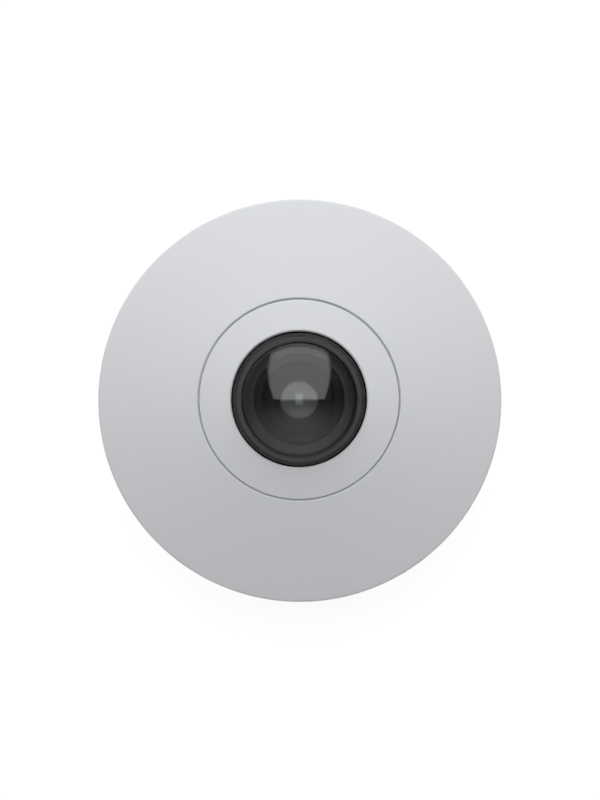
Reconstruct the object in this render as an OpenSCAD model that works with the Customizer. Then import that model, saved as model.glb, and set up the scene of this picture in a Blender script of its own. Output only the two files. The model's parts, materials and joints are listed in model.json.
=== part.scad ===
// Ceiling camera with a wide-angle lens under a clear dome, in a shallow round casing.
// It lies on the back face of its mounting plate with the lens up.
// The origin is the centre of that face, Z is the optical axis, and the cable leaves on the -Y side.

/* [Casing] */
// Outside diameter of the front cover at its rim
case_d = 132; // [130:1:150]
// Wall thickness of the front cover
cover_wall = 2.4; // [2:0.1:2.8]
// Slope of the crown beside the dome
crown_inner_deg = 10.5; // [9:0.5:12]
// Slope of the crown at the rim
crown_outer_deg = 13; // [12:0.5:15]
// Radius of the rim's edge
rim_edge_r = 0.8; // [0.4:0.1:1.2]
// Width of the base housing's outer band
band_w = 3.9; // [3.4:0.1:4.4]
// Radius that the side wall loses from the rim down to the ceiling
side_lean = 0.9; // [0.4:0.1:1.4]
// Height of the base housing's outer band above the ceiling
base_band_h = 9.5; // [9:0.5:11]
// Open line between the band and the front cover
parting_gap = 0.4; // [0.2:0.1:0.6]
// Gap between the casing and the ceiling
ceiling_gap = 0.6; // [0.3:0.1:1]
// Number of gussets under the cover's ledge
cover_gussets = 12; // [6:1:18]

/* [Lens ring] */
// Outside diameter of the ring round the dome
ring_d = 65; // [63:0.5:68]
// Width of the groove between the ring and the cover
ring_groove = 0.6; // [0.3:0.05:0.7]
// Thickness of the ring
ring_t = 2; // [1.6:0.1:2.4]
// Thickness of the ring's inner lip over the dome seal
lip_t = 2.4; // [2.2:0.1:2.8]
// Diameter of the opening for the dome
opening_d = 44.6; // [43:0.2:46]
// Width of the cover's ledge under the ring
ledge_w = 1.9; // [1.5:0.1:2.4]
// Thickness of that ledge
ledge_t = 1.6; // [1.2:0.1:2]
// Number of snap hooks that hold the ring
ring_hooks = 6; // [4:1:8]
// Width of a snap hook
ring_hook_w = 5; // [3:0.5:8]
// Thickness of a snap hook
ring_hook_t = 0.9; // [0.7:0.1:1.2]
// Reach of a snap hook's barb under the ledge
ring_barb = 0.8; // [0.5:0.1:1.2]

/* [Dome] */
// Radial gap between the dome and the ring's opening
dome_gap = 0.7; // [0.4:0.1:1]
// Wall thickness of the dome
dome_wall = 2; // [1.5:0.1:2.4]
// Outside radius of the dome's sphere
dome_sphere_r = 26; // [24.5:0.5:30]
// Height of the sphere's edge above the ring's lip
dome_stand = 0.2; // [0:0.1:1]
// Width of the dome's flange beyond the dome
dome_flange_w = 4.3; // [3.6:0.1:4.3]
// Thickness of the dome's flange
dome_flange_t = 1.6; // [1.2:0.1:2]
// Thickness of the dome seal
seal_t = 0.8; // [0.5:0.1:1.2]

/* [Shroud] */
// Wall thickness of the shroud's collar inside the dome
shroud_wall = 1; // [0.8:0.1:1.4]
// Height of the collar above the cone beside it
shroud_step = 1.1; // [0.8:0.1:1.4]
// Rise of the cone towards the lens
shroud_cone_rise = 1; // [0.5:0.1:1.4]
// Thickness of the shroud's cone
shroud_cone_t = 1.2; // [1:0.1:1.6]
// Thickness of the shroud's flange
shroud_flange_t = 1.5; // [1.2:0.1:1.8]

/* [Mounting plate] */
// Thickness of the mounting plate
plate_t = 2; // [1.6:0.1:2.4]
// Height of the plate's rim
plate_rim_h = 5; // [4.6:0.1:6]
// Width of the plate's rim
plate_rim_w = 1.5; // [1.2:0.1:2]
// Height of the plate's ribs above its floor
plate_rib_h = 1.8; // [1:0.1:2.2]
// Width of the plate's ribs
plate_rib_w = 1.6; // [1.2:0.1:2]
// Diameter of the cable hole
cable_hole_d = 25; // [22:0.5:26]
// Pitch circle of the four ceiling screws
ceiling_pcd = 84; // [80:0.5:88]
// Diameter of the ceiling screw holes
ceiling_hole_d = 4.6; // [4:0.1:5]
// Screw spacing of a wall box with two far screws
wide_box_spacing = 83.3; // [82:0.1:85]
// Screw spacing of a wall box with two near screws
near_box_spacing = 60; // [58:0.5:62]
// Width of the slots for the box screws
slot_w = 4.4; // [4:0.1:5]
// Length of those slots from end to end
slot_l = 8; // [7:0.5:9]
// Height of the pads round the screw holes
pad_h = 0.6; // [0.4:0.1:1]
// Width of the pad round a screw hole
pad_w = 2.4; // [1.5:0.1:3]

/* [Bayonet] */
// Distance of the bayonet hooks' circle from the plate's edge
hook_inset = 9.5; // [8.5:0.1:10.5]
// Radial thickness of a hook
hook_w = 3; // [2.4:0.1:3.6]
// Length of a hook's post along the circle
hook_post_l = 5; // [4:0.5:6]
// Reach of a hook's lip beyond its post
hook_lip_l = 9; // [7:0.5:10]
// Thickness of a hook's lip
hook_lip_t = 1.5; // [1.2:0.1:2]
// Angle that the camera turns on the plate
twist_deg = 15; // [12:1:16]

/* [Base housing] */
// Thickness of the housing's floor
floor_t = 1.8; // [1.5:0.1:2.2]
// Thickness of the housing's upright walls
base_wall = 2; // [1.6:0.1:2.4]
// Height of the locating lip above the band
lip_h = 3.5; // [3:0.5:5]
// Diameter of the bosses for the cover screws
cover_boss_d = 6.6; // [6.2:0.2:7]
// Distance of the cover screws' circle from the rim
cover_screw_inset = 8.7; // [8.4:0.1:9]
// Diameter of the board's standoffs
standoff_d = 5.6; // [5:0.2:6]
// Width of the cable trough from the centre to the bay
trough_w = 20; // [16:0.5:21]
// Height of the trough above the floor's underside
trough_h = 2.2; // [2:0.1:2.6]
// Thickness of the walls of bay, trough and pockets
bay_wall = 1.4; // [1.2:0.1:1.6]
// Width of the side exit for the cable
exit_w = 11; // [9:0.5:12]
// Length of the raised heat block
heat_block_w = 14; // [12:0.5:15]
// Distance of the heat block from the lens holder's lug
heat_block_gap = 6; // [4:0.5:7]

/* [Connector bay] */
// Left end of the bay
bay_left = 12.5; // [12:0.5:14]
// Right end of the bay
bay_right = 26; // [25:0.5:27]
// Length of the bay, from the jack's side out to its far edge
bay_l = 20.5; // [20:0.5:21]
// Distance of the bay's far edge inside the main board's edge
bay_edge = 5; // [4:0.5:5.5]
// Corner radius of the bay
bay_corner_r = 3; // [2:0.5:4]

/* [Boards] */
// Gap between the main board's edge and the cover screws' bosses
board_gap = 4; // [3.5:0.1:5]
// Thickness of the main board
board_t = 1.6; // [1.2:0.1:2]
// Diameter of the main board's centre hole
board_hole_d = 28; // [26:1:30]
// Distance of the board's screws from its edge
board_screw_inset = 4.5; // [4:0.1:5]
// Clear height between the main board's edge and the cover
board_headroom = 0.8; // [0.5:0.1:1.5]
// Width of the sensor board
sensor_board_w = 35; // [34:0.5:36]
// Reach of the sensor board towards the cable exit
sensor_board_near = 11; // [10.8:0.1:12]
// Reach of the sensor board away from the cable exit
sensor_board_far = 20; // [19.6:0.1:21]
// Thickness of the sensor board
sensor_board_t = 1.2; // [1:0.1:1.6]
// Air gap under the sensor board
sensor_board_air = 0.9; // [0.6:0.1:1.2]

/* [Sensor and filter switch] */
// Width of the image sensor's package
sensor_w = 11; // [10:0.5:12]
// Length of the image sensor's package
sensor_l = 9; // [8:0.5:10]
// Thickness of that package
sensor_t = 1.5; // [1.2:0.1:1.8]
// Thickness of the sensor's cover glass
sensor_glass_t = 0.5; // [0.4:0.1:0.7]
// Width of each square filter glass
filter_w = 6.6; // [6.2:0.1:6.8]
// Travel of the filter carrier
filter_travel = 7; // [6.9:0.1:7.4]
// Thickness of the filter carrier
carrier_t = 1; // [0.8:0.1:1.2]
// Rim of the carrier round the glass
carrier_rim = 0.8; // [0.7:0.1:1]
// Thickness of a filter glass
filter_glass_t = 0.4; // [0.3:0.05:0.5]
// Wall thickness of the filter frame
frame_wall = 1.1; // [0.9:0.1:1.3]
// Floor thickness of the filter frame
frame_floor_t = 0.6; // [0.5:0.1:0.8]
// Height of the filter frame
frame_h = 3.5; // [3.4:0.1:4]
// Length of the carrier's ear with the slot for the rotor's pin
ear_l = 3.3; // [3.2:0.1:3.6]
// Wall thickness beside that slot
ear_wall = 1; // [0.8:0.1:1.2]
// Radius from the rotor's axis to its pin
arm_r = 4.95; // [4.9:0.01:5.1]
// Radius of the rotor's magnet
rotor_r = 2.2; // [2:0.1:2.4]
// Radius of the rotor's pin
rotor_pin_r = 0.5; // [0.4:0.05:0.6]
// Radius of the coil
coil_r = 1.3; // [1.1:0.05:1.4]
// Length of the coil
coil_l = 6; // [5:0.5:6.5]
// Wall thickness of the lens holder
holder_wall = 1.4; // [1.2:0.1:1.6]
// Outside diameter of the holder's threaded tube
holder_tube_d = 17; // [15:0.5:18]

/* [Lens] */
// Outside radius of the front element's outer sphere
front_sphere_r = 17; // [16.5:0.5:18]
// Radius of the front element's hollow
front_hollow_r = 9.6; // [9.4:0.1:10]
// Radius of the front element
front_r = 11.9; // [11.6:0.1:12.2]
// Thickness of the front element at its centre
front_centre_t = 1.8; // [1.5:0.1:2.2]
// Height of the front element's straight edge
front_edge_h = 2.14; // [2:0.02:2.3]
// Gap between the lens and the inside of the dome
lens_dome_gap = 2.4; // [2:0.1:3]
// Outside radius of the lens retainer
retainer_r = 14.1; // [14:0.1:14.3]
// Wall thickness of the retainer's skirt
retainer_wall = 0.65; // [0.5:0.05:0.7]
// Inside radius of the retainer's front
retainer_lip_r = 11.5; // [11.2:0.1:11.5]
// Height of the retainer's skirt below the front element's seat
retainer_skirt = 1.8; // [1.4:0.1:2]
// Step from the front seat down to the second element's seat
second_step = 2.4; // [2.3:0.1:2.6]
// Radius of the second element
second_r = 9.5; // [9.2:0.1:9.6]
// Step from the second seat down to the third element's seat
third_step = 3.8; // [3.6:0.1:4]
// Radius of the third element
third_r = 6.5; // [6.2:0.1:6.8]
// Depth of the barrel below the third seat
neck_depth = 0.8; // [0.7:0.1:1.2]
// Outside radius of the barrel's neck
neck_r = 8.6; // [8.4:0.1:8.8]
// Radius of the barrel's thread
thread_r = 6; // [5.8:0.1:6.2]
// Radius of the rear elements
rear_r = 4.5; // [4.2:0.1:4.6]
// Thickness of each rear element
rear_t = 2.2; // [2:0.1:2.4]
// Radius of the light opening in the aperture stop
pupil_r = 2.4; // [2:0.1:2.8]
// Thickness of the aperture stop
stop_t = 0.3; // [0.2:0.05:0.4]
// Radius of the aperture stop
stop_r = 5; // [4.9:0.1:5.2]
// Height of the focus lock ring
lock_ring_h = 1.3; // [1:0.1:1.6]

/* [Network jack] */
// Width of the network jack
jack_w = 16; // [15.6:0.1:16.4]
// Length of the network jack
jack_l = 15.5; // [15:0.1:16]
// Height of the network jack
jack_h = 13.4; // [13.2:0.1:14.4]
// Width of the jack's mouth
mouth_w = 12; // [11.8:0.1:12.4]
// Height of the jack's mouth
mouth_h = 8.4; // [8:0.1:9]
// Depth of the jack's mouth
mouth_l = 13; // [12:0.1:13.2]
// Width of the notch for the plug's latch
latch_w = 6; // [5.6:0.1:6.4]
// Depth of that notch below the mouth
latch_h = 2; // [1.6:0.1:2.2]

/* [Memory card] */
// Width of the memory card
card_w = 11; // [10.8:0.1:11.2]
// Length of the memory card
card_l = 15; // [14.6:0.1:15.2]
// Thickness of the memory card
card_t = 0.8; // [0.7:0.05:1]
// Length of the card that stands out of its slot
card_grip = 1.6; // [1.4:0.1:2]
// Wall thickness of the card slot
card_slot_wall = 0.4; // [0.3:0.05:0.5]

/* [Control button] */
// Width of the button's switch
switch_w = 6; // [5.6:0.1:6.4]
// Height of the switch
switch_h = 3.5; // [3.2:0.1:3.8]
// Diameter of the button
button_d = 3.4; // [3:0.1:3.6]
// Height of the button below its switch
button_h = 2.4; // [2:0.1:3]
// Travel of the button
button_travel = 0.5; // [0.3:0.05:0.6]

/* [Electronic components] */
// Width of the processor
processor_w = 13; // [11:0.5:13.5]
// Thickness of the processor
processor_t = 1.2; // [1:0.1:1.4]
// Thickness of the thermal pad
pad_t = 0.8; // [0.5:0.1:1]
// Diameter of a capacitor
capacitor_d = 8; // [7:0.1:8.2]
// Height of a capacitor
capacitor_h = 10; // [9:0.5:10.5]
// Width of an inductor
inductor_w = 6; // [5.5:0.1:6.5]
// Height of an inductor
inductor_h = 3; // [2.5:0.1:3.5]
// Length of the power transformer's core
transformer_l = 14; // [13:0.5:14.5]
// Width of the transformer's core
transformer_w = 11; // [10:0.5:11.5]
// Height of the transformer
transformer_h = 9; // [8:0.5:9]
// Distance of the transformer from the lens holder's lug
transformer_gap = 3; // [2:0.5:5]
// Width of a memory chip
chip_w = 9; // [8:0.5:9]
// Length of a memory chip
chip_l = 7; // [6:0.5:7.5]
// Thickness of a memory chip
chip_t = 1; // [0.8:0.1:1.2]
// Width of the flex cable
flex_w = 8; // [6:0.5:9]
// Thickness of the flex cable
flex_t = 0.3; // [0.2:0.05:0.4]
// Height of a flex connector
connector_h = 1.6; // [1.4:0.1:1.8]
// Length of a flex connector
connector_l = 3.2; // [3:0.1:3.4]

/* [Screws] */
// Radius of the cover screws' shank
cover_shank_r = 1.25; // [1.1:0.05:1.4]
// Length of the cover screws
cover_screw_l = 12; // [10:0.5:12.5]
// Radius of the board screws' shank
board_shank_r = 1.25; // [1.1:0.05:1.3]
// Length of the board screws
board_screw_l = 6; // [5:0.5:8]
// Radius of the small screws' shank
small_shank_r = 0.8; // [0.7:0.05:0.9]
// Length of the sensor board's screws
sensor_screw_l = 3; // [2.5:0.1:3.4]
// Length of the shroud's screws
shroud_screw_l = 3.1; // [2.8:0.1:3.2]
// Radius of the side lock screw
lock_screw_r = 1.5; // [1.25:0.05:1.6]

/* [Clearances] */
// Gap between the turning camera and its plate
turn_gap = 0.3; // [0.2:0.05:0.4]
// Gap round a piece that slides
slide_gap = 0.15; // [0.1:0.01:0.2]
// Gap round a piece that nests in another
fit_gap = 0.15; // [0.1:0.01:0.2]
// Gap between a screw and its thread
thread_gap = 0.05; // [0.03:0.01:0.08]
// Gap round a lens element in its seat
glass_gap = 0.05; // [0.03:0.01:0.08]

/* [Hidden] */
$fn = 96;
// Overrun of cuts and depth by which joined shapes run into each other
cut = 1;
sink = 0.4;

// Angles of what stands round the centre, hooks first
hook_angles = [345, 100, 205];
cover_screw_angles = [30, 150, 240, 315];
board_screw_angles = [20, 115, 175, 318];
lock_screw_angle = 60;
exit_angle = 270;
exit_rim_deg = 14;
// No rib crosses the cable's way on the -Y side
rib_angles = [for (i = [-1:4]) 22.5 + i * 45];

// Radii of the casing
case_r = case_d / 2;
ring_r = ring_d / 2;
opening_r = opening_d / 2;
skirt_r = case_r - band_w;
plate_r = skirt_r - turn_gap * 2;
hook_r = plate_r - hook_inset;
cover_boss_r = cover_boss_d / 2;
cover_screw_r = case_r - cover_screw_inset;
board_r = cover_screw_r - cover_boss_r - board_gap;
board_screw_r = board_r - board_screw_inset;
bay_far = board_r - bay_edge;
bay_near = bay_far - bay_l;
cable_hole_r = cable_hole_d / 2;

// Heights from the ceiling up
floor_under = plate_rim_h + turn_gap;
floor_top = floor_under + floor_t;
trough_top = floor_under + trough_h;
board_z = floor_top + fit_gap * 2 + jack_h;
board_top = board_z + board_t;
lip_top = base_band_h + lip_h;

// The crown's slope grows evenly from the dome's opening out to the rim
inner_slope = tan(crown_inner_deg);
outer_slope = tan(crown_outer_deg);
slope_growth = (outer_slope - inner_slope) / (2 * (case_r - opening_r));
function crown_rise(r) = inner_slope * (case_r - r)
    + slope_growth * (pow(case_r - opening_r, 2) - pow(r - opening_r, 2));
rim_z = board_top + board_headroom + cover_wall - crown_rise(board_r);
function crown_z(r) = rim_z + crown_rise(r);
function crown_points(r0, r1, steps, drop) =
    [for (i = [0:steps]) let (r = r0 + (r1 - r0) * i / steps) [r, crown_z(r) - drop]];
// Radius of the leaning side wall at a height
function side_r(z) = case_r - side_lean * (rim_z - z) / rim_z;
function arc_points(x, z, r, a0, a1, steps) =
    [for (i = [0:steps]) let (a = a0 + (a1 - a0) * i / steps) [x + r * cos(a), z + r * sin(a)]];
function sag(sphere_r, r) = sphere_r - sqrt(pow(sphere_r, 2) - pow(r, 2));
function arc_deg(length, r) = length / r * 180 / PI;

// Base housing
lip_r = side_r(base_band_h) - cover_wall - fit_gap * 2;
exit_half = exit_w / 2;
housing_chamfer = ceiling_gap;
standoff_r = standoff_d / 2;
hook_top = floor_top + turn_gap + hook_lip_t;
hook_in_r = hook_r - hook_w / 2;
hook_out_r = hook_r + hook_w / 2;
hook_post_deg = arc_deg(hook_post_l / 2, hook_r);
hook_lip_deg = arc_deg(hook_lip_l, hook_r);
hook_gap_deg = arc_deg(turn_gap, hook_in_r);

// Lens ring, dome and shroud
dome_r = opening_r - dome_gap;
dome_in_r = dome_r - dome_wall;
opening_z = crown_z(opening_r);
land_z = crown_z(ring_r) - ring_t;
ledge_r = ring_r - ledge_w;
ledge_neck = cover_wall;
ring_hook_r = ledge_r - fit_gap * 2;
ring_boss_r = small_shank_r * 2;
dome_flange_r = dome_r + dome_flange_w;
shroud_screw_r = dome_flange_r + fit_gap + ring_boss_r;
shroud_flange_r = shroud_screw_r + ring_boss_r;
lip_z = opening_z - lip_t;
dome_flange_top = lip_z - seal_t;
dome_flange_z = dome_flange_top - dome_flange_t;
dome_edge_z = opening_z + dome_stand;
dome_centre_z = dome_edge_z - sqrt(pow(dome_sphere_r, 2) - pow(dome_r, 2));
collar_r = dome_in_r - fit_gap * 2;
collar_in_r = collar_r - shroud_wall;
collar_top = opening_z - dome_wall * 0.4;
cone_z = collar_top - shroud_step;
shroud_hole_r = retainer_r + fit_gap * 2;
shroud_flange_z = dome_flange_z - shroud_flange_t;

// Lens, from the dome's inside down to the thread
front_apex = dome_centre_z + dome_sphere_r - dome_wall - lens_dome_gap;
front_centre_z = front_apex - front_sphere_r;
front_seat = front_apex - sag(front_sphere_r, front_r) - front_edge_h;
hollow_centre_z = front_apex - front_centre_t - front_hollow_r;
head_r = retainer_r - retainer_wall - glass_gap;
head_top = front_seat + front_edge_h * 0.4;
second_seat = front_seat - second_step;
second_edge_h = second_r * 0.085;
second_sphere_r = second_r * 1.96;
second_hollow_r = second_r * 0.9;
third_seat = second_seat - third_step;
third_edge_h = third_r * 0.32;
third_sphere_r = third_r * 2.8;
neck_z = third_seat - neck_depth;
head_bottom = second_seat - holder_wall;

// Sensor stack, from the trough's roof up to the thread
sensor_board_z = trough_top + bay_wall + sensor_board_air;
sensor_board_top = sensor_board_z + sensor_board_t;
sensor_top = sensor_board_top + sensor_t + sensor_glass_t;
frame_z = sensor_top + fit_gap * 2;
frame_top = frame_z + frame_h;
carrier_z = frame_z + frame_floor_t + slide_gap;
carrier_top = carrier_z + carrier_t;
holder_top = frame_top + holder_wall;
rear_z = frame_top + fit_gap * 2;
rear_seat = rear_z + stop_t * 2;
lock_ring_top = neck_z - glass_gap * 2;
tube_top = lock_ring_top - lock_ring_h - glass_gap * 2;
tube_r = holder_tube_d / 2;
stop_z = third_seat - stop_t * 3;

// Filter switch: carrier at rest with the infrared-cut glass on the axis
carrier_y = filter_w / 2 + carrier_rim;
carrier_left = -carrier_y;
carrier_right = filter_travel + carrier_y;
ear_x = filter_travel / 2;
pin_slot_half = rotor_pin_r + slide_gap + filter_travel * 0.02;
ear_half = pin_slot_half + ear_wall;
rotor_y = carrier_y + ear_l - slide_gap * 2 - rotor_pin_r + sqrt(pow(arm_r, 2) - pow(ear_x, 2)) - slide_gap;
rotor_angle = -acos(ear_x / arm_r);
arm_z = carrier_top + slide_gap;
arm_t = carrier_t * 0.8;
frame_x = carrier_right + slide_gap * 2 + frame_wall;
frame_near = -carrier_y - slide_gap * 2 - frame_wall;
frame_far = rotor_y + rotor_r + slide_gap * 2 + frame_wall;
holder_x = frame_x + fit_gap + holder_wall;
holder_near = frame_near - fit_gap - holder_wall;
holder_far = frame_far + fit_gap + holder_wall;
lug_r = small_shank_r * 2.2;
lug_x = holder_x + lug_r * 0.7;
lug_y = (holder_near + holder_far) / 2;
lug_h = frame_h;

// Connector bay and what opens into it
jack_y = -(bay_near + fit_gap * 3 + jack_w / 2);
jack_back = -bay_left - jack_l;
mouth_z = floor_top + fit_gap * 2 + latch_h + (jack_h - mouth_h - latch_h) * 0.4;
card_slot_l = card_l - card_grip + card_slot_wall;
card_slot_w = card_w + 2 * (slide_gap + card_slot_wall);
card_slot_h = card_t + 2 * (slide_gap + card_slot_wall);
card_slot_x = bay_right - fit_gap * 2 - card_slot_l;
card_slot_y = -(bay_far - bay_corner_r * 0.6 - card_slot_w / 2);
card_z = board_z - card_slot_wall - slide_gap - card_t;
card_x = card_slot_x - card_grip;
button_x = bay_right * 0.35;
button_y = -(bay_near + fit_gap * 3 + switch_w / 2);
light_x = bay_right * 0.85;

// Components on the main board's underside
processor_x = lug_x + lug_r + heat_block_gap + heat_block_w / 2;
transformer_x = -(lug_x + lug_r + transformer_gap + transformer_l / 2);
transformer_y = -board_r * 0.17;
capacitor_r = board_r * 0.72;
capacitor_angles = [122, 140, 158];
inductor_r = board_r * 0.74;
inductor_angles = [38, 54, 70];
chip_x = processor_x;
chip_y = processor_w / 2 + chip_l / 2 + fit_gap * 8;

// Screw sizes follow their shanks
cover_head_r = cover_shank_r * 1.9;
cover_head_h = cover_shank_r * 1.5;
board_head_r = board_shank_r * 1.8;
board_head_h = board_shank_r;
small_head_r = small_shank_r * 1.8;
small_head_h = small_shank_r * 1.3;
sensor_post_r = small_shank_r * 2.6;
sensor_screw_x = sensor_board_w / 2 - sensor_post_r;
sensor_screw_near = -(sensor_board_near - sensor_post_r);
sensor_screw_far = sensor_board_far - sensor_post_r;
bore_depth_gap = fit_gap * 3;

// Flex cable, from the sensor board up to the main board
flex_start_y = sensor_board_far - connector_l * 0.5;
flex_low = sensor_board_top + connector_h * 0.5;
flex_high = board_z - connector_h * 0.5;
flex_bend = connector_l * 0.6;
flex_rise_y = sensor_board_far + flex_bend * 1.6;
flex_end_y = flex_rise_y + flex_bend * 2.2;

module disc(r, z0, z1) {
    translate([0, 0, z0]) cylinder(r = r, h = z1 - z0);
}

module tube(r_out, r_in, z0, z1) {
    difference() {
        disc(r_out, z0, z1);
        disc(r_in, z0 - cut, z1 + cut);
    }
}

module block(x0, x1, y0, y1, z0, z1) {
    translate([x0, y0, z0]) cube([x1 - x0, y1 - y0, z1 - z0]);
}

module polar(r, a) {
    rotate([0, 0, a]) translate([r, 0, 0]) children();
}

module arc_block(r0, r1, z0, z1, a0, a1) {
    rotate([0, 0, a0]) rotate_extrude(angle = a1 - a0)
        translate([r0, z0]) square([r1 - r0, z1 - z0]);
}

module rounded_block(x0, x1, y0, y1, z0, z1, r) {
    block(x0 + r, x1 - r, y0, y1, z0, z1);
    block(x0, x1, y0 + r, y1 - r, z0, z1);
    for (x = [x0 + r, x1 - r])
        for (y = [y0 + r, y1 - r])
            translate([x, y, 0]) disc(r, z0, z1);
}

// Screw with its head's seat at the origin and its shank pointing down
module screw(head_r, head_h, shank_r, length) {
    difference() {
        union() {
            disc(head_r, 0, head_h);
            disc(shank_r, -length, sink);
        }
        translate([0, 0, head_h * 0.4]) cylinder(r = shank_r * 0.8, h = head_h, $fn = 6);
    }
}

module slot(x) {
    half = (slot_l - slot_w) / 2;
    block(x - half, x + half, -slot_w / 2, slot_w / 2, -cut, plate_rim_h);
    for (s = [-1, 1]) translate([x + s * half, 0, 0]) disc(slot_w / 2, -cut, plate_rim_h);
}

module slot_pad(x) {
    half = (slot_l - slot_w) / 2;
    r = slot_w / 2 + pad_w;
    block(x - half, x + half, -r, r, plate_t - sink, plate_t + pad_h);
    for (s = [-1, 1]) translate([x + s * half, 0, 0]) disc(r, plate_t - sink, plate_t + pad_h);
}

module bayonet_hook(a) {
    difference() {
        arc_block(hook_in_r, hook_out_r, plate_t - sink, hook_top,
            a - hook_post_deg, a + hook_post_deg + hook_lip_deg);
        arc_block(hook_in_r - cut, hook_out_r + cut, plate_t - sink - cut, hook_top - hook_lip_t,
            a + hook_post_deg, a + hook_post_deg + hook_lip_deg * 2);
    }
}

module mounting_plate() {
    color("gainsboro") difference() {
        union() {
            disc(plate_r, 0, plate_t);
            tube(plate_r, plate_r - plate_rim_w, 0, plate_rim_h);
            tube(cable_hole_r + plate_rib_w, cable_hole_r, 0, plate_t + pad_h);
            for (a = rib_angles)
                rotate([0, 0, a]) block(cable_hole_r + plate_rib_w / 2, plate_r - plate_rim_w / 2,
                    -plate_rib_w / 2, plate_rib_w / 2, plate_t - sink, plate_t + plate_rib_h);
            for (i = [0:3])
                polar(ceiling_pcd / 2, 45 + i * 90)
                    disc(ceiling_hole_d / 2 + pad_w, plate_t - sink, plate_t + pad_h);
            for (s = [-1, 1]) {
                slot_pad(s * wide_box_spacing / 2);
                slot_pad(s * near_box_spacing / 2);
            }
            for (a = hook_angles) bayonet_hook(a);
        }
        disc(cable_hole_r, -cut, plate_rim_h);
        for (i = [0:3])
            polar(ceiling_pcd / 2, 45 + i * 90) disc(ceiling_hole_d / 2, -cut, plate_rim_h);
        for (s = [-1, 1]) {
            slot(s * wide_box_spacing / 2);
            slot(s * near_box_spacing / 2);
        }
        arc_block(plate_r - plate_rim_w - sink, plate_r + cut, plate_t, plate_rim_h + cut,
            exit_angle - exit_rim_deg / 2, exit_angle + exit_rim_deg / 2);
    }
}

// Closed pocket over a bayonet slot, with room for the hook to turn
module hook_pocket(a, grow) {
    arc_block(hook_in_r - turn_gap - grow, hook_out_r + turn_gap + grow,
        floor_top - sink, hook_top + turn_gap + grow,
        a - hook_post_deg - twist_deg - hook_gap_deg - arc_deg(grow, hook_r),
        a + hook_post_deg + hook_lip_deg + hook_gap_deg + arc_deg(grow, hook_r));
}

module hook_slot(a) {
    arc_block(hook_in_r - turn_gap, hook_out_r + turn_gap, floor_under - cut, floor_top + cut,
        a - hook_post_deg - twist_deg - hook_gap_deg, a + hook_post_deg + hook_gap_deg);
}

module base_housing() {
    color("silver") difference() {
        union() {
            rotate_extrude() polygon([
                [skirt_r, ceiling_gap],
                [side_r(ceiling_gap) - housing_chamfer, ceiling_gap],
                [side_r(ceiling_gap * 2), ceiling_gap * 2],
                [side_r(base_band_h), base_band_h],
                [lip_r, base_band_h],
                [lip_r, lip_top],
                [lip_r - base_wall, lip_top],
                [lip_r - base_wall, floor_top],
                [0, floor_top],
                [0, floor_under],
                [skirt_r, floor_under]
            ]);
            rounded_block(-bay_left - bay_wall, bay_right + bay_wall, -bay_far - bay_wall,
                -bay_near + bay_wall, floor_under, board_z - fit_gap * 2, bay_corner_r);
            block(-trough_w / 2 - bay_wall, trough_w / 2 + bay_wall, -bay_near,
                trough_w / 2 + bay_wall, floor_under, trough_top + bay_wall);
            block(-exit_half - bay_wall, exit_half + bay_wall, -skirt_r, -bay_far,
                floor_under, trough_top + bay_wall);
            for (a = hook_angles) hook_pocket(a, bay_wall);
            for (a = cover_screw_angles) polar(cover_screw_r, a) disc(cover_boss_r, floor_under, lip_top);
            for (a = board_screw_angles) polar(board_screw_r, a) disc(standoff_r, floor_under, board_z);
            for (x = [-1, 1])
                for (y = [sensor_screw_near, sensor_screw_far])
                    translate([x * sensor_screw_x, y, 0]) disc(sensor_post_r, floor_under, sensor_board_z);
            block(processor_x - heat_block_w / 2, processor_x + heat_block_w / 2,
                -heat_block_w / 2, heat_block_w / 2, floor_under, board_z - processor_t - pad_t);
        }
        rounded_block(-bay_left, bay_right, -bay_far, -bay_near, floor_under - cut, board_z + cut,
            bay_corner_r - bay_wall / 2);
        block(-bay_left - bay_wall - cut, -bay_left + cut, jack_y - jack_w / 2 - fit_gap,
            jack_y + jack_w / 2 + fit_gap, floor_top, board_z + cut);
        block(-trough_w / 2, trough_w / 2, -bay_near - cut, trough_w / 2, floor_under - cut, trough_top);
        block(-exit_half, exit_half, -case_r - cut, -bay_far + cut, ceiling_gap - cut, trough_top);
        for (a = hook_angles) {
            hook_pocket(a, 0);
            hook_slot(a);
        }
        for (a = cover_screw_angles) polar(cover_screw_r, a) {
            disc(cover_head_r + fit_gap, floor_under - cut, floor_under + cover_head_h + fit_gap * 2);
            disc(cover_shank_r + fit_gap, floor_under, lip_top + cut);
        }
        for (a = board_screw_angles) polar(board_screw_r, a)
            disc(board_shank_r + thread_gap, board_z + board_t - board_screw_l - bore_depth_gap, board_z + cut);
        for (x = [-1, 1])
            for (y = [sensor_screw_near, sensor_screw_far])
                translate([x * sensor_screw_x, y, 0])
                    disc(small_shank_r + thread_gap,
                        sensor_board_top - sensor_screw_l - fit_gap * 2, sensor_board_z + cut);
        rotate([0, 0, lock_screw_angle]) translate([0, 0, (ceiling_gap + floor_under) / 2])
            rotate([0, 90, 0]) disc(lock_screw_r + thread_gap, skirt_r - cut, case_r + cut);
        for (i = [-1:1])
            block(processor_x - heat_block_w / 2 - cut, processor_x + heat_block_w / 2 + cut,
                (i - 0.15) * heat_block_w / 3, (i + 0.15) * heat_block_w / 3,
                floor_top, board_z - processor_t - pad_t - floor_t);
    }
}

module cable_hatch() {
    color("silver") intersection() {
        rotate_extrude() polygon([
            [skirt_r, ceiling_gap],
            [side_r(ceiling_gap) - housing_chamfer, ceiling_gap],
            [side_r(ceiling_gap * 2), ceiling_gap * 2],
            [side_r(trough_top - fit_gap), trough_top - fit_gap],
            [skirt_r, trough_top - fit_gap]
        ]);
        block(-exit_half + fit_gap, exit_half - fit_gap, -case_r - cut, 0, 0, trough_top);
    }
}

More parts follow.
